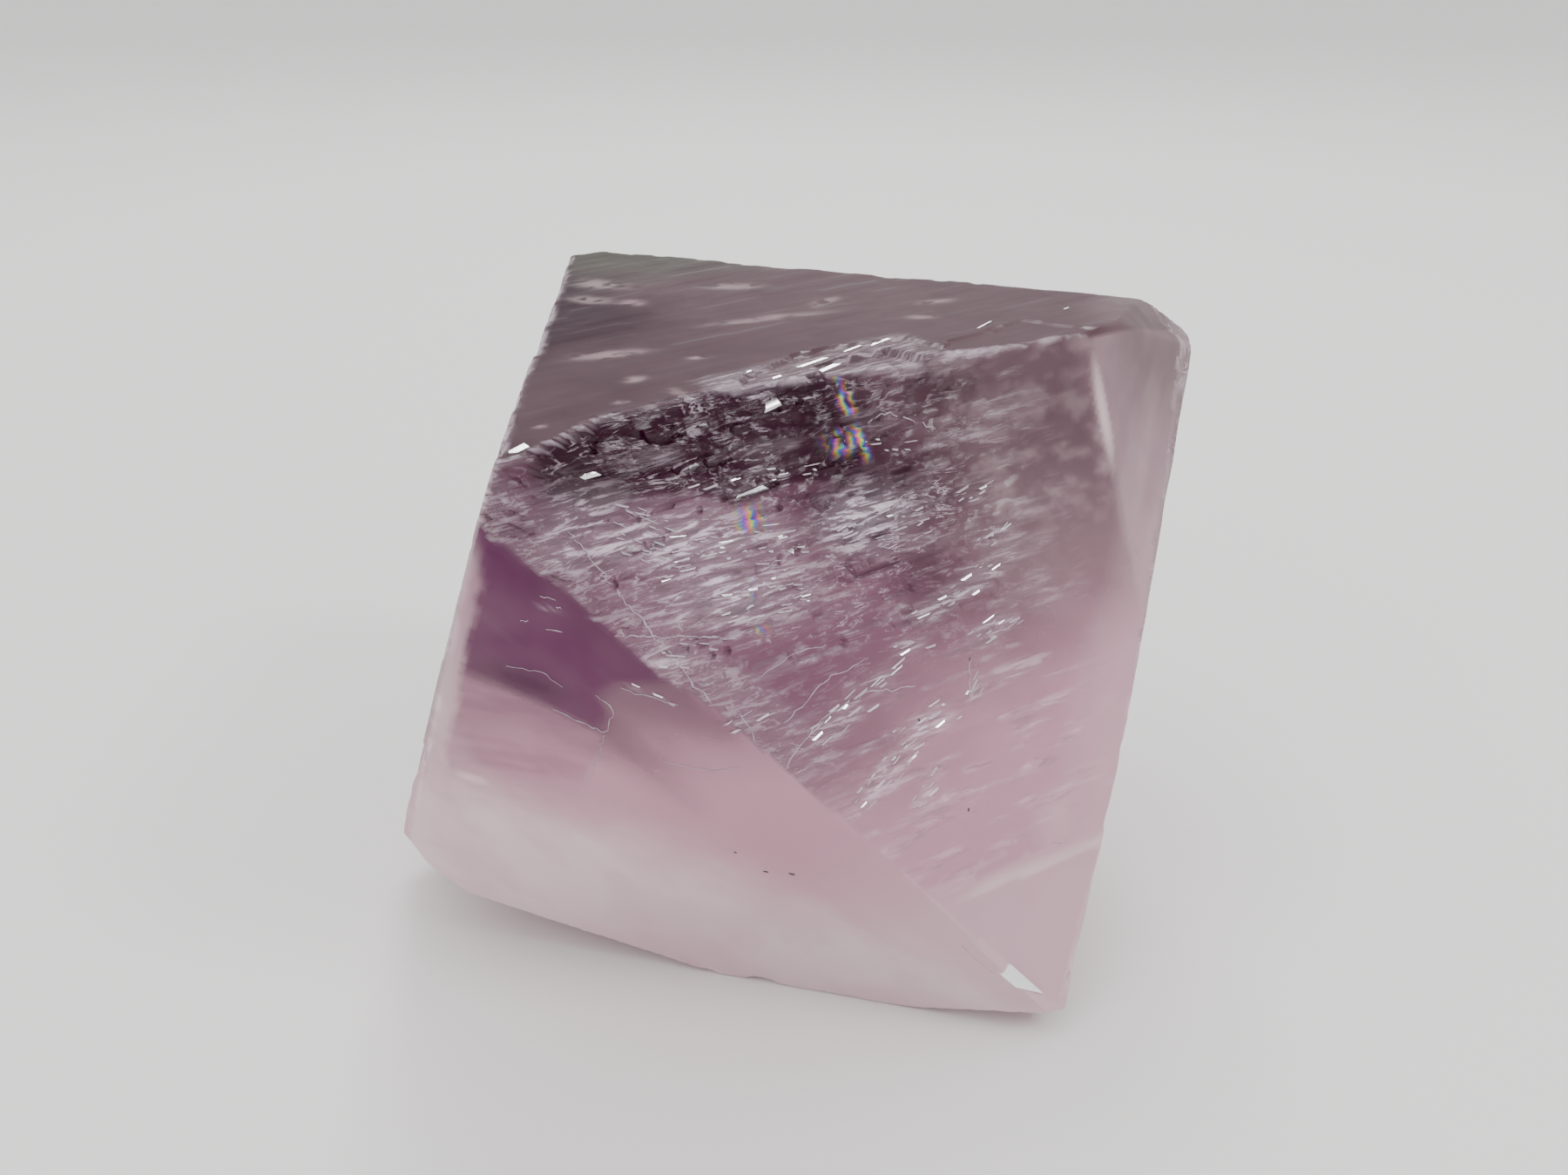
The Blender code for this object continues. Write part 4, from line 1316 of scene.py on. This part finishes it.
class CRYSTAL_OT_painted_glint(bpy.types.Operator):
    """Make the white plate above the right foot, a painted glint"""

    bl_idname = "crystal.fresh_break"
    bl_label = "Bright break"

    def execute(self, context):
        top = skin_point(FRONT, *np.array(FOOT_GLINT).T, sunk=-GLINT_RISE)
        points = np.vstack([top, top - GLINT_THICKNESS * FRONT[3]])
        faces = [(0, 1, 3), (1, 2, 3), (4, 7, 5), (5, 7, 6)]
        faces += [(k, k + 4, (k + 1) % 4 + 4, (k + 1) % 4) for k in range(4)]
        material = painted_glint_material(context.scene.crystal_body)
        face_outward(make_piece("bright_break", points, faces, material))
        return {"FINISHED"}


# Dark grains of another mineral: face, (u, v), length, width and heading in radians.
SPECKS = (
    (FRONT, 15.51, 13.77, 0.13, 0.09, 0.4),
    (FRONT, 16.98, 18.13, 0.13, 0.11, 1.1),
    (FRONT, 18.6, 12.05, 0.16, 0.07, 1.8),
    (LOWER, 20.4, 5.5, 0.30, 0.07, -0.9),
    (LOWER, 21.0, 4.5, 0.34, 0.10, -0.9),
    (LOWER, 18.8, 5.8, 0.14, 0.07, -0.9),
    (BACK, 15.0, 9.0, 0.14, 0.10, -0.9),
)
SPECK_RISE = (0.012, 0.02)


class CRYSTAL_OT_specks(bpy.types.Operator):
    """Make the dark specks in the clear faces"""

    bl_idname = "crystal.specks"
    bl_label = "Dark specks"

    def execute(self, context):
        shells = []
        for face, u, v, length, width, heading in SPECKS:
            centre = skin_point(face, np.array([u]), np.array([v]))
            sizes = np.array([[length, width, *SPECK_RISE]])
            shells.append(shards(centre, *turned(face, np.array([heading])), face[3][None], sizes))
        material = grain_material(context.scene.crystal_body)
        face_outward(make_piece("dark_specks", *joined(shells), material))
        return {"FINISHED"}


class CRYSTAL_PT_panel(bpy.types.Panel):
    """The crystal's operators in the sidebar"""

    bl_label = "Crystal"
    bl_idname = "CRYSTAL_PT_panel"
    bl_space_type = "VIEW_3D"
    bl_region_type = "UI"
    bl_category = "Crystal"

    def draw(self, context):
        for operator in OPERATORS:
            self.layout.operator(operator.bl_idname)


OPERATORS = (
    CRYSTAL_OT_stage,
    CRYSTAL_OT_body,
    CRYSTAL_OT_splinters,
    CRYSTAL_OT_plates,
    CRYSTAL_OT_hair_cracks,
    CRYSTAL_OT_painted_glint,
    CRYSTAL_OT_specks,
)
CLASSES = (CrystalSettings, StageSettings, *OPERATORS, CRYSTAL_PT_panel)


def register():
    """Register the classes and their settings."""
    for item in CLASSES:
        bpy.utils.register_class(item)
    bpy.types.Scene.crystal_body = bpy.props.PointerProperty(type=CrystalSettings)
    bpy.types.Scene.crystal_stage = bpy.props.PointerProperty(type=StageSettings)


def unregister():
    """Take the settings and the classes away again."""
    del bpy.types.Scene.crystal_body
    del bpy.types.Scene.crystal_stage
    for item in reversed(CLASSES):
        bpy.utils.unregister_class(item)


def main():
    """Register the classes and make every piece."""
    register()
    bpy.ops.crystal.stage()
    bpy.ops.crystal.body()
    bpy.ops.crystal.splinters()
    bpy.ops.crystal.plates()
    bpy.ops.crystal.hair_cracks()
    bpy.ops.crystal.fresh_break()
    bpy.ops.crystal.specks()


if __name__ == "__main__":
    main()
